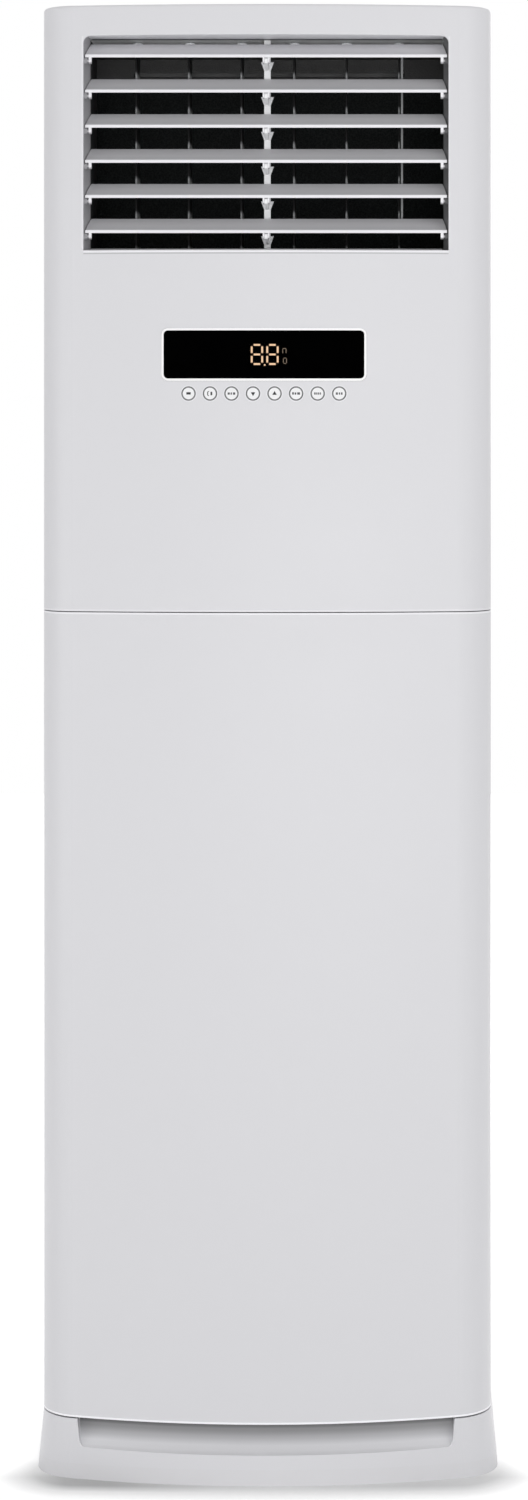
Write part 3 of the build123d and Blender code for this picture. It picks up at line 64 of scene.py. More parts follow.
def addCamera(plan):
    wide, tall = plan["frame"]
    bpy.ops.object.camera_add(location=(plan["across"], plan["frontY"] - plan["distance"], plan["height"]),
                              rotation=(math.radians(90), 0, 0))
    camera = bpy.context.object
    camera.name = "frontCamera"
    camera.data.sensor_width = plan["sensor"]
    camera.data.lens = plan["focalPixels"] / tall * plan["sensor"]
    camera.data.shift_x = (wide / 2 - plan["axisPixel"][0]) / tall
    camera.data.shift_y = (plan["axisPixel"][1] - tall / 2) / tall
    camera.data.clip_end = 60
    scene.camera = camera


lightPlan = {
    "ambient": 0.61,
    "key": {"at": (2.7, -2.9, 2.6), "aim": (0, 0, 0.8), "size": 2.6, "watts": 26.0},
    "fill": {"at": (-3.1, -2.3, 0.9), "aim": (0, 0, 0.7), "size": 2.4, "watts": 21.0},
    "low": {"at": (0.5, -4.8, 0.9), "aim": (0, 0, 1.3), "size": 1.6, "watts": 34.0},
    "rear": {"at": (0.6, 3.2, 2.4), "aim": (0, 0, 0.9), "size": 2.4, "watts": 22.0},
}


def addSoftbox(name, plan):
    bpy.ops.object.light_add(type="AREA", location=plan["at"])
    lamp = bpy.context.object
    lamp.name = name
    lamp.data.shape = "SQUARE"
    lamp.data.size = plan["size"]
    lamp.data.energy = plan["watts"]
    towards = Vector(plan["aim"]) - Vector(plan["at"])
    lamp.rotation_mode = "QUATERNION"
    lamp.rotation_quaternion = towards.to_track_quat("-Z", "Y")


class Wire:
    # a value on its way through a material; sums on it add Math nodes
    def __init__(self, finish, socket):
        self.finish = finish
        self.socket = socket

    def sum(self, operation, first, second=None):
        return self.finish.sum(operation, first, second)

    def __add__(self, other): return self.sum("ADD", self, other)
    def __sub__(self, other): return self.sum("SUBTRACT", self, other)
    def __rsub__(self, other): return self.sum("SUBTRACT", other, self)
    def __mul__(self, other): return self.sum("MULTIPLY", self, other)
    def __truediv__(self, other): return self.sum("DIVIDE", self, other)
    def __mod__(self, other): return self.sum("FLOORED_MODULO", self, other)
    def __lt__(self, other): return self.sum("LESS_THAN", self, other)
    def __gt__(self, other): return self.sum("GREATER_THAN", self, other)
    def __pow__(self, other): return self.sum("POWER", self, other)
    def __abs__(self): return self.sum("ABSOLUTE", self)


class Finish:
    # one material: a Principled shader with what feeds it
    def __init__(self, name, tree=None, **constants):
        if tree is None:
            self.material = bpy.data.materials.new(name)
            self.material.use_nodes = True
            tree = self.material.node_tree
            self.shader = tree.nodes["Principled BSDF"]
            for socketName, value in constants.items():
                self.shader.inputs[socketName.replace("_", " ")].default_value = value
        self.tree = tree

    def add(self, kind, settings=None, inputs=None, out=0):
        node = self.tree.nodes.new(kind)
        for key, value in (settings or {}).items():
            if key == "stops":
                ramp = node.color_ramp.elements
                while len(ramp) > len(value):
                    ramp.remove(ramp[-1])
                while len(ramp) < len(value):
                    ramp.new(1.0)
                for stop, (place, colour) in zip(ramp, value):
                    stop.position = place
                    stop.color = (*colour, 1.0)
            else:
                setattr(node, key, value)
        pairs = inputs.items() if isinstance(inputs, dict) else enumerate(inputs or [])
        for key, value in pairs:
            if isinstance(value, Wire):
                self.tree.links.new(value.socket, node.inputs[key])
            else:
                node.inputs[key].default_value = value
        return Wire(self, node.outputs[out])

    def sum(self, operation, first, second=None):
        inputs = [first] if second is None else [first, second]
        return self.add("ShaderNodeMath", {"operation": operation}, inputs)

    def feed(self, socketName, wire):
        self.tree.links.new(wire.socket, self.shader.inputs[socketName])

    def place(self):
        return self.add("ShaderNodeTexCoord", out="Object")

    def axes(self):
        split = self.add("ShaderNodeSeparateXYZ", None, [self.place()])
        return [Wire(self, socket) for socket in split.socket.node.outputs]

    def noise(self, scale, detail=2.0, stretch=(1, 1, 1)):
        spot = self.add("ShaderNodeMapping", None, {"Vector": self.place(), "Scale": stretch})
        return self.add("ShaderNodeTexNoise", None, {"Vector": spot, "Scale": scale, "Detail": detail})

    def mix(self, factor, first, second, blend="MIX"):
        # the colour mixer's sockets go by number: factor 0, colours 6 and 7, and its result is 2
        full = [(*colour, 1.0) if isinstance(colour, tuple) else colour for colour in (first, second)]
        return self.add("ShaderNodeMix", {"data_type": "RGBA", "blend_type": blend},
                        {0: factor, 6: full[0], 7: full[1]}, out=2)

    def ramp(self, wire, stops):
        # grey levels along the wire's value
        return self.add("ShaderNodeValToRGB", {"stops": [(at, grey(level)) for at, level in stops]}, [wire])

    def between(self, wire, low, high, start=0.0, end=1.0):
        return self.add("ShaderNodeMapRange", None, {"Value": wire, "From Min": start, "From Max": end,
                                                     "To Min": low, "To Max": high})

    def bump(self, height, depth, strength=1.0):
        self.feed("Normal", self.add("ShaderNodeBump", None,
                                     {"Height": height, "Distance": depth, "Strength": strength}))


def shade(colour, factor):
    return tuple(channel * factor for channel in colour)


def grey(value):
    return (value, value, value)


def stripes(wire, pitch, share):
    # 1 on that share of every pitch, 0 on the rest
    return (wire % pitch) / pitch < share


def whiteBehind(tree):
    # 1 for rays that should meet the plain white background, 0 for rays that light the object
    stage = Finish("stage", tree)
    path = stage.add("ShaderNodeLightPath")
    outputs = path.socket.node.outputs
    camera, glossy, through = [Wire(stage, outputs[f"Is {kind} Ray"])
                               for kind in ("Camera", "Glossy", "Transmission")]
    return stage, stage.sum("MAXIMUM", stage.sum("MAXIMUM", camera, glossy), through)


floorPlan = {
    # seenShadowTint darkens the floor for camera rays only, deepening the painted shadow
    "size": 14.0, "colour": (0.88, 0.88, 0.88), "seenShadowTint": 0.09,
    # the foot's outline: where its corners start, their radius, the front's crown
    "cornerX": 0.240, "cornerY": 0.137, "corner": 0.056, "crown": 0.1,
    "glow": 0.45, "reach": (0.003, 0.052),   # camera-only glow whitens the floor from the second distance on, none within the first: a painted shadow band round the foot
    "behind": (-0.158, -0.085),              # the glow also whitens the floor behind the foot's front, so the painted shadow ends there
    # a painted shadow core that darkens the floor's colour along the foot, from left to right
    "paintedShadowCore": {"depth": 0.30, "width": 0.024, "left": -0.30, "right": 0.30,
             "stops": [(0.0, 0.0), (0.075, 0.9), (0.17, 1.0), (0.40, 0.2),
                       (0.55, 0.0), (0.83, 0.2), (1.0, 0.0)]},
}


def addStage(plan):
    world = bpy.data.worlds.new("studio")
    scene.world = world
    world.use_nodes = True
    stage, seen = whiteBehind(world.node_tree)
    backdrop = world.node_tree.nodes["Background"]
    ambient = lightPlan["ambient"]
    world.node_tree.links.new((seen * (1.0 - ambient) + ambient).socket, backdrop.inputs["Strength"])
    backdrop.inputs["Color"].default_value = (1, 1, 1, 1)
    bpy.ops.object.select_all(action="DESELECT")
    bpy.ops.mesh.primitive_plane_add(size=plan["size"])
    floor = bpy.context.object
    floor.name = "floor"
    material = bpy.data.materials.new("paleFloor")
    material.use_nodes = True
    tree = material.node_tree
    tree.nodes.remove(tree.nodes["Principled BSDF"])
    stage, seen = whiteBehind(tree)
    across, deep, up = stage.axes()
    inboard = stage.sum("MINIMUM", abs(across), plan["cornerX"])
    aside = abs(across) - inboard
    ahead = stage.sum("MAXIMUM", inboard * inboard * plan["crown"] - deep - plan["cornerY"], 0.0)
    away = (aside * aside + ahead * ahead) ** 0.5 - plan["corner"]
    # painted shadow: the floor's colour darkens along the foot, and its camera-only glow is held back near
    # the foot's front
    paintedShadowCore = plan["paintedShadowCore"]
    spread = stage.ramp(stage.between(across, 0.0, 1.0, paintedShadowCore["left"], paintedShadowCore["right"]), paintedShadowCore["stops"])
    dark = spread * stage.between(away, paintedShadowCore["depth"], 0.0, 0.0, paintedShadowCore["width"])
    tint = stage.mix(dark + seen * plan["seenShadowTint"], plan["colour"], grey(0))
    diffuse = stage.add("ShaderNodeBsdfDiffuse", None, {"Color": tint})
    lift = stage.between(away, 0.0, plan["glow"], *plan["reach"])
    lift = lift + stage.between(deep, 0.0, plan["glow"], *plan["behind"])
    glow = stage.add("ShaderNodeEmission", None, {"Strength": seen * lift})
    both = stage.add("ShaderNodeAddShader", None, [diffuse, glow])
    tree.links.new(both.socket, tree.nodes["Material Output"].inputs["Surface"])
    floor.data.materials.append(material)


addCamera(cameraPlan)
for softbox in ("key", "fill", "low", "rear"):
    addSoftbox(softbox + "Softbox", lightPlan[softbox])
addStage(floorPlan)
print("camera, light and floor ready")


# ---------- finishes

dust = {"below": 0.02, "most": 0.10, "colour": (0.52, 0.49, 0.45)}


def mouldedWhite(name, colour, roughness, grain=0.00004):
    # satin moulded plastic: faint cloudiness, fine orange peel, a little dust low down
    finish = Finish(name, Specular_IOR_Level=0.45)
    across, deep, up = finish.axes()
    cloud = finish.noise(2.2, 3.0)
    fine = finish.noise(420.0, 2.0)
    tint = finish.mix(finish.between(cloud, 0.35, 0.65), shade(colour, 0.985), shade(colour, 1.012))
    dusty = finish.between(finish.noise(38.0, 4.0), 0.0, dust["most"]) * (up < dust["below"])
    finish.feed("Base Color", finish.mix(dusty, tint, dust["colour"]))
    finish.feed("Roughness", finish.between(finish.noise(9.0, 4.0), roughness - 0.05, roughness + 0.06))
    finish.bump(fine, grain, 0.5)
    return finish


def powderCoat(name, colour):
    finish = Finish(name, Specular_IOR_Level=0.4)
    cells = finish.add("ShaderNodeTexVoronoi", {"feature": "SMOOTH_F1"},
                       {"Vector": finish.place(), "Scale": 900.0})
    tint = finish.mix(finish.noise(3.0, 3.0), shade(colour, 0.98), shade(colour, 1.01))
    finish.feed("Base Color", tint)
    finish.feed("Roughness", finish.between(finish.noise(60.0, 2.0), 0.42, 0.56))
    finish.bump(cells, 0.00006, 0.5)
    return finish


def darkMoulding(name, colour, roughness, **constants):
    finish = Finish(name, **constants)
    mottle = finish.noise(24.0, 4.0)
    finish.feed("Base Color", finish.mix(mottle, shade(colour, 0.8), shade(colour, 1.25)))
    finish.feed("Roughness", finish.between(finish.noise(150.0, 2.0), roughness - 0.08, roughness + 0.08))
    finish.bump(finish.noise(700.0, 2.0), 0.00006, 0.6)
    return finish


def zincSheet(name):
    # hot-dip spangle
    finish = Finish(name, Metallic=1.0)
    spangle = finish.add("ShaderNodeTexVoronoi", None, {"Vector": finish.place(), "Scale": 55.0}, out="Color")
    level = finish.add("ShaderNodeRGBToBW", None, [spangle])
    finish.feed("Base Color", finish.mix(level, (0.44, 0.46, 0.48), (0.62, 0.64, 0.66)))
    finish.feed("Roughness", finish.between(level, 0.34, 0.52))
    finish.bump(finish.noise(300.0, 3.0), 0.00005, 0.4)
    return finish


def brushedMetal(name, colour, roughness, stretch):
    finish = Finish(name, Metallic=1.0)
    lines = finish.noise(180.0, 3.0, stretch)
    finish.feed("Base Color", finish.mix(lines, shade(colour, 0.85), shade(colour, 1.08)))
    finish.feed("Roughness", finish.between(lines, roughness - 0.08, roughness + 0.1))
    finish.bump(lines, 0.00004, 0.5)
    return finish


finPlan = {"pitch": 0.0018, "slot": 0.35}
netPlan = {"pitch": 0.0022, "thread": 0.3}


def finStack(name):
    # thin aluminium fins: the slots between them, at the fin pitch across the coil, painted dark as shade
    finish = Finish(name, Metallic=0.9)
    across, deep, up = finish.axes()
    slot = stripes(across, finPlan["pitch"], finPlan["slot"])
    finish.feed("Base Color", finish.mix(slot, (0.66, 0.69, 0.72), (0.08, 0.085, 0.09)))
    finish.feed("Roughness", finish.between(finish.noise(40.0, 3.0), 0.3, 0.5))
    finish.bump(1.0 - slot, 0.0006, 0.8)
    return finish


def filterMesh(name):
    # woven net: threads across and up
    finish = Finish(name, Roughness=0.7)
    across, deep, up = finish.axes()
    pitch, share = netPlan["pitch"], netPlan["thread"]
    thread = stripes(deep, pitch, share) + stripes(up, pitch, share)
    finish.feed("Base Color", finish.mix(thread, (0.10, 0.11, 0.12), (0.34, 0.36, 0.38)))
    finish.bump(thread, 0.0004, 0.7)
    return finish


displayMiddle = (-0.001, 1.428)   # across and up, between the two digits
windowPlan = {"clearHalf": (0.0215, 0.0165), "veil": 0.45}   # the smoked patch in front of the digits


def smokedWindow(name):
    # black behind the surface, smoked and see-through only in front of the digits
    finish = Finish(name, Specular_IOR_Level=0.0)
    across, deep, up = finish.axes()
    (midX, midZ), (halfX, halfZ) = displayMiddle, windowPlan["clearHalf"]
    clear = (abs(across - midX) < halfX) * (abs(up - midZ) < halfZ)
    haze = finish.noise(30.0, 4.0)
    finish.feed("Base Color", finish.mix(haze, (0.0002, 0.0002, 0.0002), (0.0008, 0.0008, 0.0009)))
    finish.feed("Roughness", finish.between(haze, 0.22, 0.32))
    finish.feed("Alpha", 1.0 - clear * (1.0 - windowPlan["veil"]))
    return finish


digitPlan = {
    "half": 0.0098,                                  # from the display's middle to each digit's own
    "stem": 0.0050, "dot": 0.0085, "stemRise": 0.00605,
    "lit": (0.0035, 0.0046),                         # each segment's light fades out towards its ends
    "colour": (0.86, 0.57, 0.36), "unlit": (0.014, 0.007, 0.003), "strength": 3.3,
}


def litSegments(name):
    plan = digitPlan
    finish = Finish(name, Roughness=0.5)
    across, deep, up = finish.axes()
    midX, midZ = displayMiddle
    beside = abs(abs(across - midX) - plan["half"])
    rise = abs(up - midZ)
    stem = beside > plan["stem"]
    stemLit = finish.between(abs(rise - plan["stemRise"]), 1.0, 0.0, *plan["lit"])
    barLit = finish.between(beside, 1.0, 0.0, *plan["lit"])
    lit = stem * stemLit + (1.0 - stem) * barLit + (beside > plan["dot"])
    spread = finish.noise(220.0, 2.0)
    glow = finish.mix(spread, shade(plan["colour"], 0.85), shade(plan["colour"], 1.15))
    colour = finish.mix(lit, plan["unlit"], glow)
    finish.feed("Base Color", colour)
    finish.feed("Emission Color", colour)
    finish.shader.inputs["Emission Strength"].default_value = plan["strength"]
    return finish


buttonPlan = {
    "count": 8, "firstX": -0.0972, "pitch": 0.0272, "height": 1.3786,
    "radius": 0.0083, "ring": 0.0010, "ringColour": (0.20, 0.20, 0.21),
    # on the panel: painted shade in the gap round a cap and a painted highlight on the edge beyond it
    "ringEdge": 0.0091, "gapTone": 0.30, "haloEdge": 0.0105, "haloTone": 1.12,
}


def buttonReach(finish, plan):
    # distance from the middle of the nearest button
    across, deep, up = finish.axes()
    fromCentre = (across - (plan["firstX"] - plan["pitch"] / 2)) % plan["pitch"] - plan["pitch"] / 2
    rise = up - plan["height"]
    return (fromCentre * fromCentre + rise * rise) ** 0.5


def buttonCap(name, colour):
    # white cap with a painted shade ring just inside its edge, where the cap's edge meets the shaded gap
    plan = buttonPlan
    finish = Finish(name, Specular_IOR_Level=0.5)
    reach = buttonReach(finish, plan)
    ring = (reach > plan["radius"] - plan["ring"]) * (reach < plan["radius"] + plan["ring"])
    cloud = finish.mix(finish.noise(60.0, 3.0), shade(colour, 0.97), shade(colour, 1.0))
    finish.feed("Base Color", finish.mix(ring, cloud, plan["ringColour"]))
    finish.feed("Roughness", finish.between(finish.noise(80.0, 2.0), 0.32, 0.42))
    finish.bump(finish.noise(600.0, 2.0), 0.00003, 0.4)
    return finish


# what stands in front of the bare board is switches and display
boardPlan = {"front": -0.1681, "pitch": 0.006, "track": 0.22}


def circuitBoard(name):
    finish = Finish(name, Specular_IOR_Level=0.1)
    across, deep, up = finish.axes()
    track = stripes(across + up, boardPlan["pitch"], boardPlan["track"])
    island = finish.noise(60.0, 1.0) > 0.52
    resist = finish.mix(track * island, (0.012, 0.085, 0.035), (0.03, 0.17, 0.075))
    raised = deep < boardPlan["front"]
    finish.feed("Base Color", finish.mix(raised, resist, (0.0008, 0.0008, 0.0009)))
    finish.feed("Roughness", finish.between(raised, 0.45, 0.95))
    finish.bump(track * island * (1.0 - raised), 0.00005, 0.5)
    return finish


def toneWhere(finish, mask, tone):
    # the base colour times a tone, where the mask is 1
    base = finish.shader.inputs["Base Color"].links[0].from_socket
    finish.feed("Base Color", finish.mix(mask, Wire(finish, base), tone, "MULTIPLY"))


panelWhite = (0.716, 0.714, 0.738)
shutSag = 0.073   # rise of the base's shut line towards the sides, per metre squared
finishes = {
    "white_shell": mouldedWhite("satinShell", panelWhite, 0.40),
    "painted_sheet": powderCoat("powderCoatWhite", shade(panelWhite, 0.98)),
    "grey_vane": darkMoulding("vaneGrey", (0.22, 0.225, 0.23), 0.45),
    "button_white": buttonCap("buttonCap", (0.88, 0.88, 0.89)),
    "smoked_window": smokedWindow("smokedWindow"),
    "digit_amber": litSegments("litSegments"),
    "dark_plastic": darkMoulding("ductBlack", (0.012, 0.0125, 0.0135), 0.55),
    "galvanised_sheet": zincSheet("zincSheet"),
    "fin_aluminium": finStack("finStack"),
    "copper": brushedMetal("drawnCopper", (0.80, 0.42, 0.28), 0.32, (1, 1, 0.15)),
    "steel": brushedMetal("platedSteel", (0.60, 0.60, 0.61), 0.34, (1, 1, 1)),
    "motor_steel": darkMoulding("motorEnamel", (0.09, 0.095, 0.10), 0.4),
    "black_rubber": darkMoulding("blackRubber", (0.018, 0.018, 0.019), 0.75),
    "board_green": circuitBoard("boardGreen"),
    "filter_grey": filterMesh("filterMesh"),
    "grey_plastic": darkMoulding("innerGrey", (0.16, 0.165, 0.17), 0.5),
}


def panelShell(name, edges):
    # the shell's white with painted highlight and shade lines: bottom, top, sag, half width, tone
    finish = mouldedWhite(name, panelWhite, 0.40)
    across, deep, up = finish.axes()
    for low, high, sag, half, tone in edges:
        level = up - across * across * sag
        toneWhere(finish, (level > low) * (level < high) * (abs(across) < half), grey(tone))
    return finish


controlsPlan = {
    "lines": [(1.1028, 1.1052, 0.0, 1.0, 1.10),      # painted highlight on the lower edge at the seam
              (1.5553, 1.5572, 0.0, 0.2315, 0.74),   # painted shade below the sill
              (1.5572, 1.5625, 0.0, 0.2315, 1.22)],  # painted highlight on the sill's edge
    # painted highlights along the rims beside the outlet
    "rim": {"inner": 0.2314, "outer": 0.2335, "bottom": 1.562, "top": 1.832, "tone": 1.12},
}


def controlsShell(name, plan):
    # the upper panel: painted highlights on the rims beside the outlet, painted shade and a painted highlight
    # round each button
    finish = panelShell(name, plan["lines"])
    across, deep, up = finish.axes()
    rim = plan["rim"]
    beside = (abs(across) > rim["inner"]) * (abs(across) < rim["outer"])
    toneWhere(finish, beside * (up > rim["bottom"]) * (up < rim["top"]), grey(rim["tone"]))
    reach = buttonReach(finish, buttonPlan)
    count, pitch = buttonPlan["count"], buttonPlan["pitch"]
    row = abs(across - buttonPlan["firstX"] - (count - 1) / 2 * pitch) < count / 2 * pitch
    gapShade = reach < buttonPlan["ringEdge"]
    halo = (reach > buttonPlan["ringEdge"]) * (reach < buttonPlan["haloEdge"])
    toneWhere(finish, row * gapShade, grey(buttonPlan["gapTone"]))
    toneWhere(finish, row * halo, grey(buttonPlan["haloTone"]))
    return finish


skirtPlan = {
    "recess": (0.038, 0.0685),      # bottom and top of the toe recess in the middle
    "half": 0.2325, "lean": 0.08,   # its half width at the floor, and how much that grows with height
    # the painted tones are scaled by this gain, which gives the recess a slight painted highlight low down
    "gain": 1.12,
    "steps": [(0.0, 0.89), (0.115, 1.0), (0.28, 1.0), (0.39, 0.85), (0.49, 0.72), (0.59, 0.64), (0.67, 0.54),
              (0.77, 0.44), (0.87, 0.41), (0.92, 0.29), (0.96, 0.24), (1.0, 0.22)],
}


def shadedSkirt(name):
    # the shell's white with painted shade in the depth of the toe recess and at the shut line above it
    plan = skirtPlan
    finish = mouldedWhite(name, panelWhite, 0.40)
    across, deep, up = finish.axes()
    level = up - across * across * shutSag
    tone = finish.ramp(finish.between(level, 0.0, 1.0, *plan["recess"]), plan["steps"])
    inside = (abs(across) < up * plan["lean"] + plan["half"]) * (level > plan["recess"][0])
    toneWhere(finish, inside, tone * plan["gain"])
    return finish


sleevePlan = {
    "ceilingFrom": 1.8305, "ceilingBack": -0.070, "ceiling": ((0.76, 0.765, 0.77), (0.82, 0.825, 0.83)),
    "frontStripBack": -0.1255, "frontStrip": (0.05, 0.05, 0.052),
}


def sleeve(name):
    # duct: a ceiling over the vane pins painted pale as painted light, a dark strip along the front, black
    # behind
    plan = sleevePlan
    finish = darkMoulding(name, (0.012, 0.0125, 0.0135), 0.6)
    across, deep, up = finish.axes()
    ceiling = (up > plan["ceilingFrom"]) * (deep < plan["ceilingBack"])
    frontStrip = deep < plan["frontStripBack"]
    dark = finish.shader.inputs["Base Color"].links[0].from_socket
    pale = finish.mix(finish.noise(40.0, 3.0), *plan["ceiling"])
    lined = finish.mix(ceiling, Wire(finish, dark), pale)
    finish.feed("Base Color", finish.mix(frontStrip, lined, plan["frontStrip"]))
    return finish


tunnelPlan = {
    # gain paints the whole frame lighter; left and right are the painted shade on the side walls
    "gain": 1.1, "wallFrom": 0.2235, "wallTop": 1.8315,
    "left": (0.44, 0.44, 0.445), "right": (0.07, 0.07, 0.072),
    "share": (0.7, 1.0), "depth": (-0.130, -0.180),   # how much of the painted shade applies at the back and in front
}


def tunnelWhite(name):
    # the shell's white, painted 10% lighter, on the frame behind the opening, with painted shade on its side
    # walls, deepest on the right
    plan = tunnelPlan
    finish = mouldedWhite(name, shade(panelWhite, plan["gain"]), 0.40)
    across, deep, up = finish.axes()
    wall = (abs(across) > plan["wallFrom"]) * (up < plan["wallTop"])
    wallShade = finish.mix(across > 0.0, plan["left"], plan["right"])
    depth = finish.between(deep, *plan["share"], *plan["depth"])
    toneWhere(finish, wall * depth, wallShade)
    return finish


vanePlan = {
    "edge": 1.5669, "pitch": 0.0446,   # a height where one louvre's painted shade band begins, and the louvres' pitch
    # stops: painted shade and light along each pitch
    "stops": [(0.0, 0.50), (0.06, 0.05), (0.52, 0.03), (0.72, 1.0), (0.94, 1.0), (1.0, 0.50)],
    "tip": 1.8235, "tipHighlight": 3.4,
    "linkEdge": 1.7868, "linkShade": 0.10,
}


def shadedVane(name):
    # grey moulding with painted shade in bands where the louvre in front would shade it, and a painted
    # highlight at the tip
    plan = vanePlan
    finish = darkMoulding(name, (0.31, 0.315, 0.32), 0.45, Specular_IOR_Level=0.06)
    across, deep, up = finish.axes()
    turn = (up - plan["edge"]) % plan["pitch"] / plan["pitch"]
    toneWhere(finish, 1.0, finish.ramp(turn, plan["stops"]))
    toneWhere(finish, up > plan["tip"], grey(plan["tipHighlight"]))
    return finish


def shadedLink(name):
    # the tie bar between the vanes: its upper half painted dark as shade
    finish = darkMoulding(name, (0.30, 0.305, 0.31), 0.45)
    across, deep, up = finish.axes()
    toneWhere(finish, up > vanePlan["linkEdge"], grey(vanePlan["linkShade"]))
    return finish


louvrePlan = {
    "lip": (-0.1662, -0.1640),                             # the lip's painted highlight ends over this depth
    "depth": (-0.164, -0.139), "tones": (0.55, 0.86),      # painted shade on the blade, from lip to back
    # the top blade is painted lighter by this gain
    "topFrom": 1.8058, "topGain": 0.24,
}


def louvreWhite(name):
    # a lip painted bright as a highlight, painted shade on the blade behind it, and the top blade painted
    # lighter
    plan = louvrePlan
    finish = mouldedWhite(name, (0.875, 0.87, 0.90), 0.30, 0.00002)
    across, deep, up = finish.axes()
    blade = finish.between(deep, 0.0, 1.0, *plan["lip"])
    topBladeLight = (up > plan["topFrom"]) * plan["topGain"] + 1.0
    toneWhere(finish, blade, finish.between(deep, *plan["tones"], *plan["depth"]) * topBladeLight)
    return finish


finishes["white_louvre"] = louvreWhite("louvreGloss")
ownFinish = {
    "base_skirt": shadedSkirt("skirtShell"),
    "air_duct": sleeve("ductSleeve"),
    "outlet_frame": tunnelWhite("tunnelShell"),
    "upper_front_panel": controlsShell("upperShell", controlsPlan),
    # painted highlights on the edges at the seam above and at the base's shut line below
    "lower_front_panel": panelShell("lowerShell", [(1.0990, 1.1012, 0.0, 1.0, 1.22),
                                                   (0.0740, 0.0790, shutSag, 1.0, 1.38)]),
    "display_bezel": mouldedWhite("bezelWhite", (0.985, 0.98, 0.985), 0.30),
    "vane_link": shadedLink("linkGrey"),
    # the post's white is painted lighter than the shell's, as painted light
    "centre_post": mouldedWhite("postPaintedLight", (0.93, 0.935, 0.95), 0.35),
}
shadedVanes = shadedVane("vaneShaded")
for number in range(1, 7):
    ownFinish[f"vane_{number}"] = shadedVanes
slotOf = {part["node"]: part["material_slot"] for part in frame["record"]["subparts"]}
for nodeName, node in nodes.items():
    for slot in node.material_slots:
        slot.material = ownFinish.get(nodeName, finishes[slotOf[nodeName]]).material
print("finishes on", len(nodes), "nodes")


# ---------- helpers for added pieces

def freshStart():
    if bpy.context.object and bpy.context.object.mode != "OBJECT":
        bpy.ops.object.mode_set(mode="OBJECT")
    bpy.ops.object.select_all(action="DESELECT")


def addBlock(low, high):
    freshStart()
    middle = [(a + b) / 2 for a, b in zip(low, high)]
    size = [b - a for a, b in zip(low, high)]
    bpy.ops.mesh.primitive_cube_add(size=1, location=middle, scale=size)
    bpy.ops.object.transform_apply(location=True, rotation=True, scale=True)
    return bpy.context.object


def pickFaces(piece, test):
    # edit mode on, with only the faces that pass the test selected
    bpy.ops.object.mode_set(mode="EDIT")
    bpy.ops.mesh.select_mode(type="FACE")
    bpy.ops.mesh.select_all(action="DESELECT")
    mesh = bmesh.from_edit_mesh(piece.data)
    for face in mesh.faces:
        face.select_set(bool(test(face.calc_center_median(), face.normal)))
    bmesh.update_edit_mesh(piece.data)


def finishPiece(piece, name, finish, body):
    piece.name = name
    piece.data.name = name
    piece.data.materials.clear()
    piece.data.materials.append(finish.material)
    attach(piece, body)


def joinParts(parts):
    freshStart()
    for part in parts:
        part.select_set(True)
    bpy.context.view_layer.objects.active = parts[0]
    if len(parts) > 1:
        bpy.ops.object.join()
    return parts[0]


def applyModifier(piece, kind, **settings):
    bpy.context.view_layer.objects.active = piece
    modifier = piece.modifiers.new(kind.title(), kind)
    for key, value in settings.items():
        setattr(modifier, key, value)
    bpy.ops.object.modifier_apply(modifier=modifier.name)


def addTiles(blocks, middle, front, back, edge):
    # flat blocks given in millimetres from the middle: across, up, width, height
    tiles = []
    for across, up, width, height in blocks:
        x, z = middle[0] + across / 1000, middle[1] + up / 1000
        halfWide, halfTall = width / 2000, height / 2000
        tile = addBlock((x - halfWide, front, z - halfTall), (x + halfWide, back, z + halfTall))
        applyModifier(tile, "BEVEL", width=edge, segments=2, limit_method="ANGLE")
        tiles.append(tile)
    return tiles


# ---------- black foam that lines the upper chamber

liningPlan = {
    "low": (-0.2825, -0.046, 1.156), "high": (0.2825, 0.1860, 1.8425),
    "thickness": 0.003, "edge": 0.001,
    "brightFrom": 1.806, "upperLight": (0.16, 0.16, 0.16),   # painted light: the lining is a lighter grey above this height, seen through the top gap
}


def openCellFoam(name, plan):
    finish = Finish(name, Specular_IOR_Level=0.1)
    cells = finish.add("ShaderNodeTexVoronoi", None, {"Vector": finish.place(), "Scale": 420.0})
    across, deep, up = finish.axes()
    foam = finish.mix(cells, (0.016, 0.018, 0.018), (0.042, 0.046, 0.046))
    # painted light: lighter grey above brightFrom
    finish.feed("Base Color", finish.mix(up > plan["brightFrom"], foam, plan["upperLight"]))
    finish.feed("Roughness", finish.between(cells, 0.85, 1.0))
    finish.bump(cells, 0.0006, 0.8)
    return finish


def addLining(plan):
    lining = addBlock(plan["low"], plan["high"])
    pickFaces(lining, lambda centre, normal: normal.y < -0.5 or normal.z < -0.5)
    bpy.ops.mesh.delete(type="FACE")
    bpy.ops.object.mode_set(mode="OBJECT")
    applyModifier(lining, "SOLIDIFY", thickness=plan["thickness"], offset=-1.0)
    applyModifier(lining, "BEVEL", width=plan["edge"], segments=2, limit_method="ANGLE")
    finishPiece(lining, "foamLining", openCellFoam("openCellFoam", plan), "cabinet")


addLining(liningPlan)
print("foam lining in")


# ---------- dark marks on the buttons

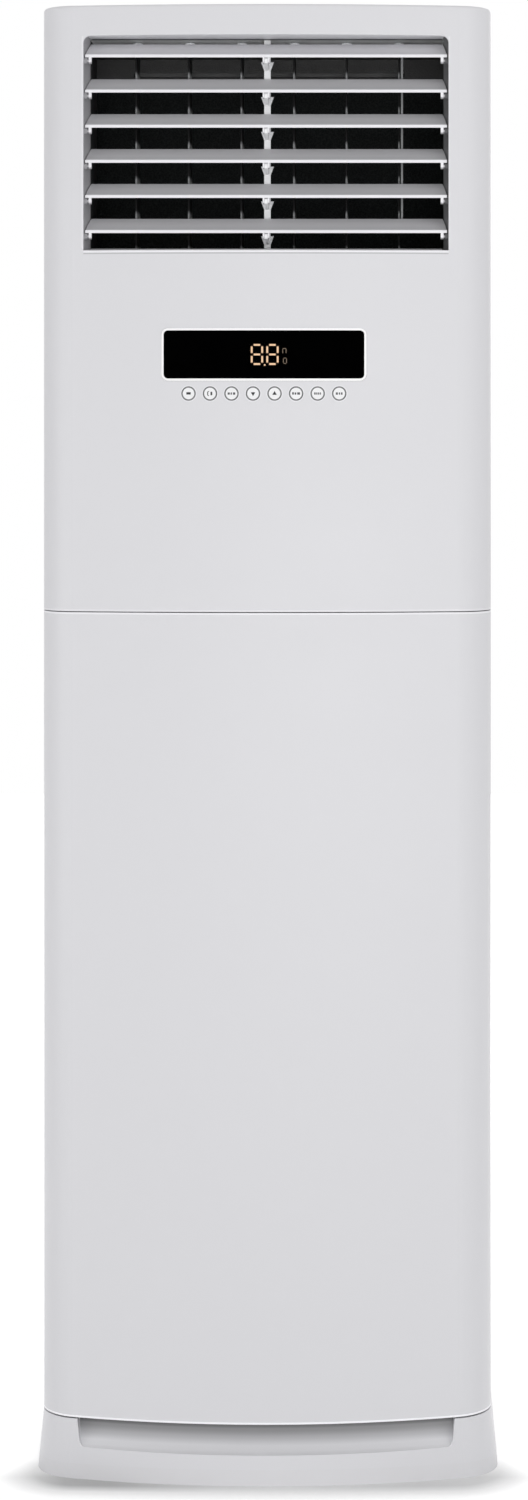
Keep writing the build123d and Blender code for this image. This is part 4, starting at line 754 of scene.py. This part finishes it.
markPlan = {
    "proud": 0.00012, "sunk": 0.0002, "edge": 0.00025,
    "tone": (0.012, 0.012, 0.014), "faintTone": (0.08, 0.08, 0.085), "faint": (3, 6, 7, 8),
    # blocks are (across, up, width, height) in millimetres from the button's middle
    "blocks": {
        1: [(0, 0.2, 5.6, 3.0)],
        2: [(1.7, 0, 2.2, 4.4), (-2.9, 0, 1.2, 4.6), (-2.0, 2.6, 1.6, 0.9), (-2.0, -2.6, 1.6, 0.9)],
        3: [(-3.5, 0, 2.8, 2.8), (-0.3, 0, 1.8, 2.8), (3.3, 0, 2.8, 3.0)],
        6: [(-3.9, 0.2, 2.2, 3.0), (-0.8, 0, 2.2, 2.8), (3.2, 0, 3.6, 3.0)],
        7: [(-3.5, 0, 2.0, 2.8), (-1.0, 0, 1.6, 2.8), (1.3, 0, 1.6, 2.8), (3.5, 0, 1.4, 2.8)],
        8: [(-3.0, 0, 2.6, 3.0), (0.3, 0, 1.8, 2.8), (3.2, 0, 2.0, 3.0)],
    },
    "arrows": {4: "down", 5: "up"}, "arrowRadius": 0.0033, "arrowEdge": 0.0002,
}


def inkFinish(name, colour):
    finish = Finish(name)
    speckle = finish.noise(900.0, 2.0)
    finish.feed("Base Color", finish.mix(speckle, shade(colour, 0.85), shade(colour, 1.15)))
    finish.feed("Roughness", finish.between(speckle, 0.45, 0.6))
    return finish


darkInk = inkFinish("darkInk", markPlan["tone"])
faintInk = inkFinish("faintInk", markPlan["faintTone"])


def addMark(number, plan):
    low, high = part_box(f"button_{number}")
    middleX, middleZ, faceY = (low.x + high.x) / 2, (low.z + high.z) / 2, low.y
    front, back = faceY - plan["proud"], faceY + plan["sunk"]
    parts = addTiles(plan["blocks"].get(number, []), (middleX, middleZ), front, back, plan["edge"])
    if number in plan["arrows"]:
        freshStart()
        bpy.ops.mesh.primitive_cylinder_add(vertices=3, radius=plan["arrowRadius"], depth=back - front,
                                            location=(middleX, (front + back) / 2, middleZ),
                                            rotation=(math.radians(90), 0, 0))
        arrow = bpy.context.object
        bpy.ops.object.transform_apply(location=True, rotation=True, scale=True)
        if plan["arrows"][number] == "down":
            bpy.ops.object.mode_set(mode="EDIT")
            bpy.ops.mesh.select_all(action="SELECT")
            bpy.ops.transform.rotate(value=math.pi, orient_axis="Y",
                                     center_override=(middleX, (front + back) / 2, middleZ))
            bpy.ops.object.mode_set(mode="OBJECT")
        applyModifier(arrow, "BEVEL", width=plan["arrowEdge"], segments=2, limit_method="ANGLE")
        parts.append(arrow)
    ink = faintInk if number in plan["faint"] else darkInk
    finishPiece(joinParts(parts), f"buttonMark_{number}", ink, f"button_{number}")


for number in range(1, buttonPlan["count"] + 1):
    addMark(number, markPlan)
print("button marks on")


# ---------- small icons beside the digits

iconPlan = {
    "front": 0.0001, "sunk": 0.0006, "edge": 0.00035, "colour": (0.17, 0.125, 0.085),
    # blocks are (across, up, width, height) in millimetres: an arch over a square ring
    "blocks": [(21.9, 1432.2, 1.1, 5.4), (24.0, 1435.5, 4.4, 1.1), (26.1, 1432.2, 1.1, 5.4),
               (24.7, 1423.4, 3.4, 1.1), (22.7, 1420.0, 1.1, 5.6),
               (26.7, 1420.0, 1.1, 5.6), (24.7, 1416.6, 3.4, 1.1)],
}


def addIcons(plan):
    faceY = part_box("display_window")[0].y
    tiles = addTiles(plan["blocks"], (0, 0), faceY - plan["front"], faceY + plan["sunk"], plan["edge"])
    ink = inkFinish("iconInk", plan["colour"])
    finishPiece(joinParts(tiles), "displayIcons", ink, "cabinet")


addIcons(iconPlan)
print("icons on the window")
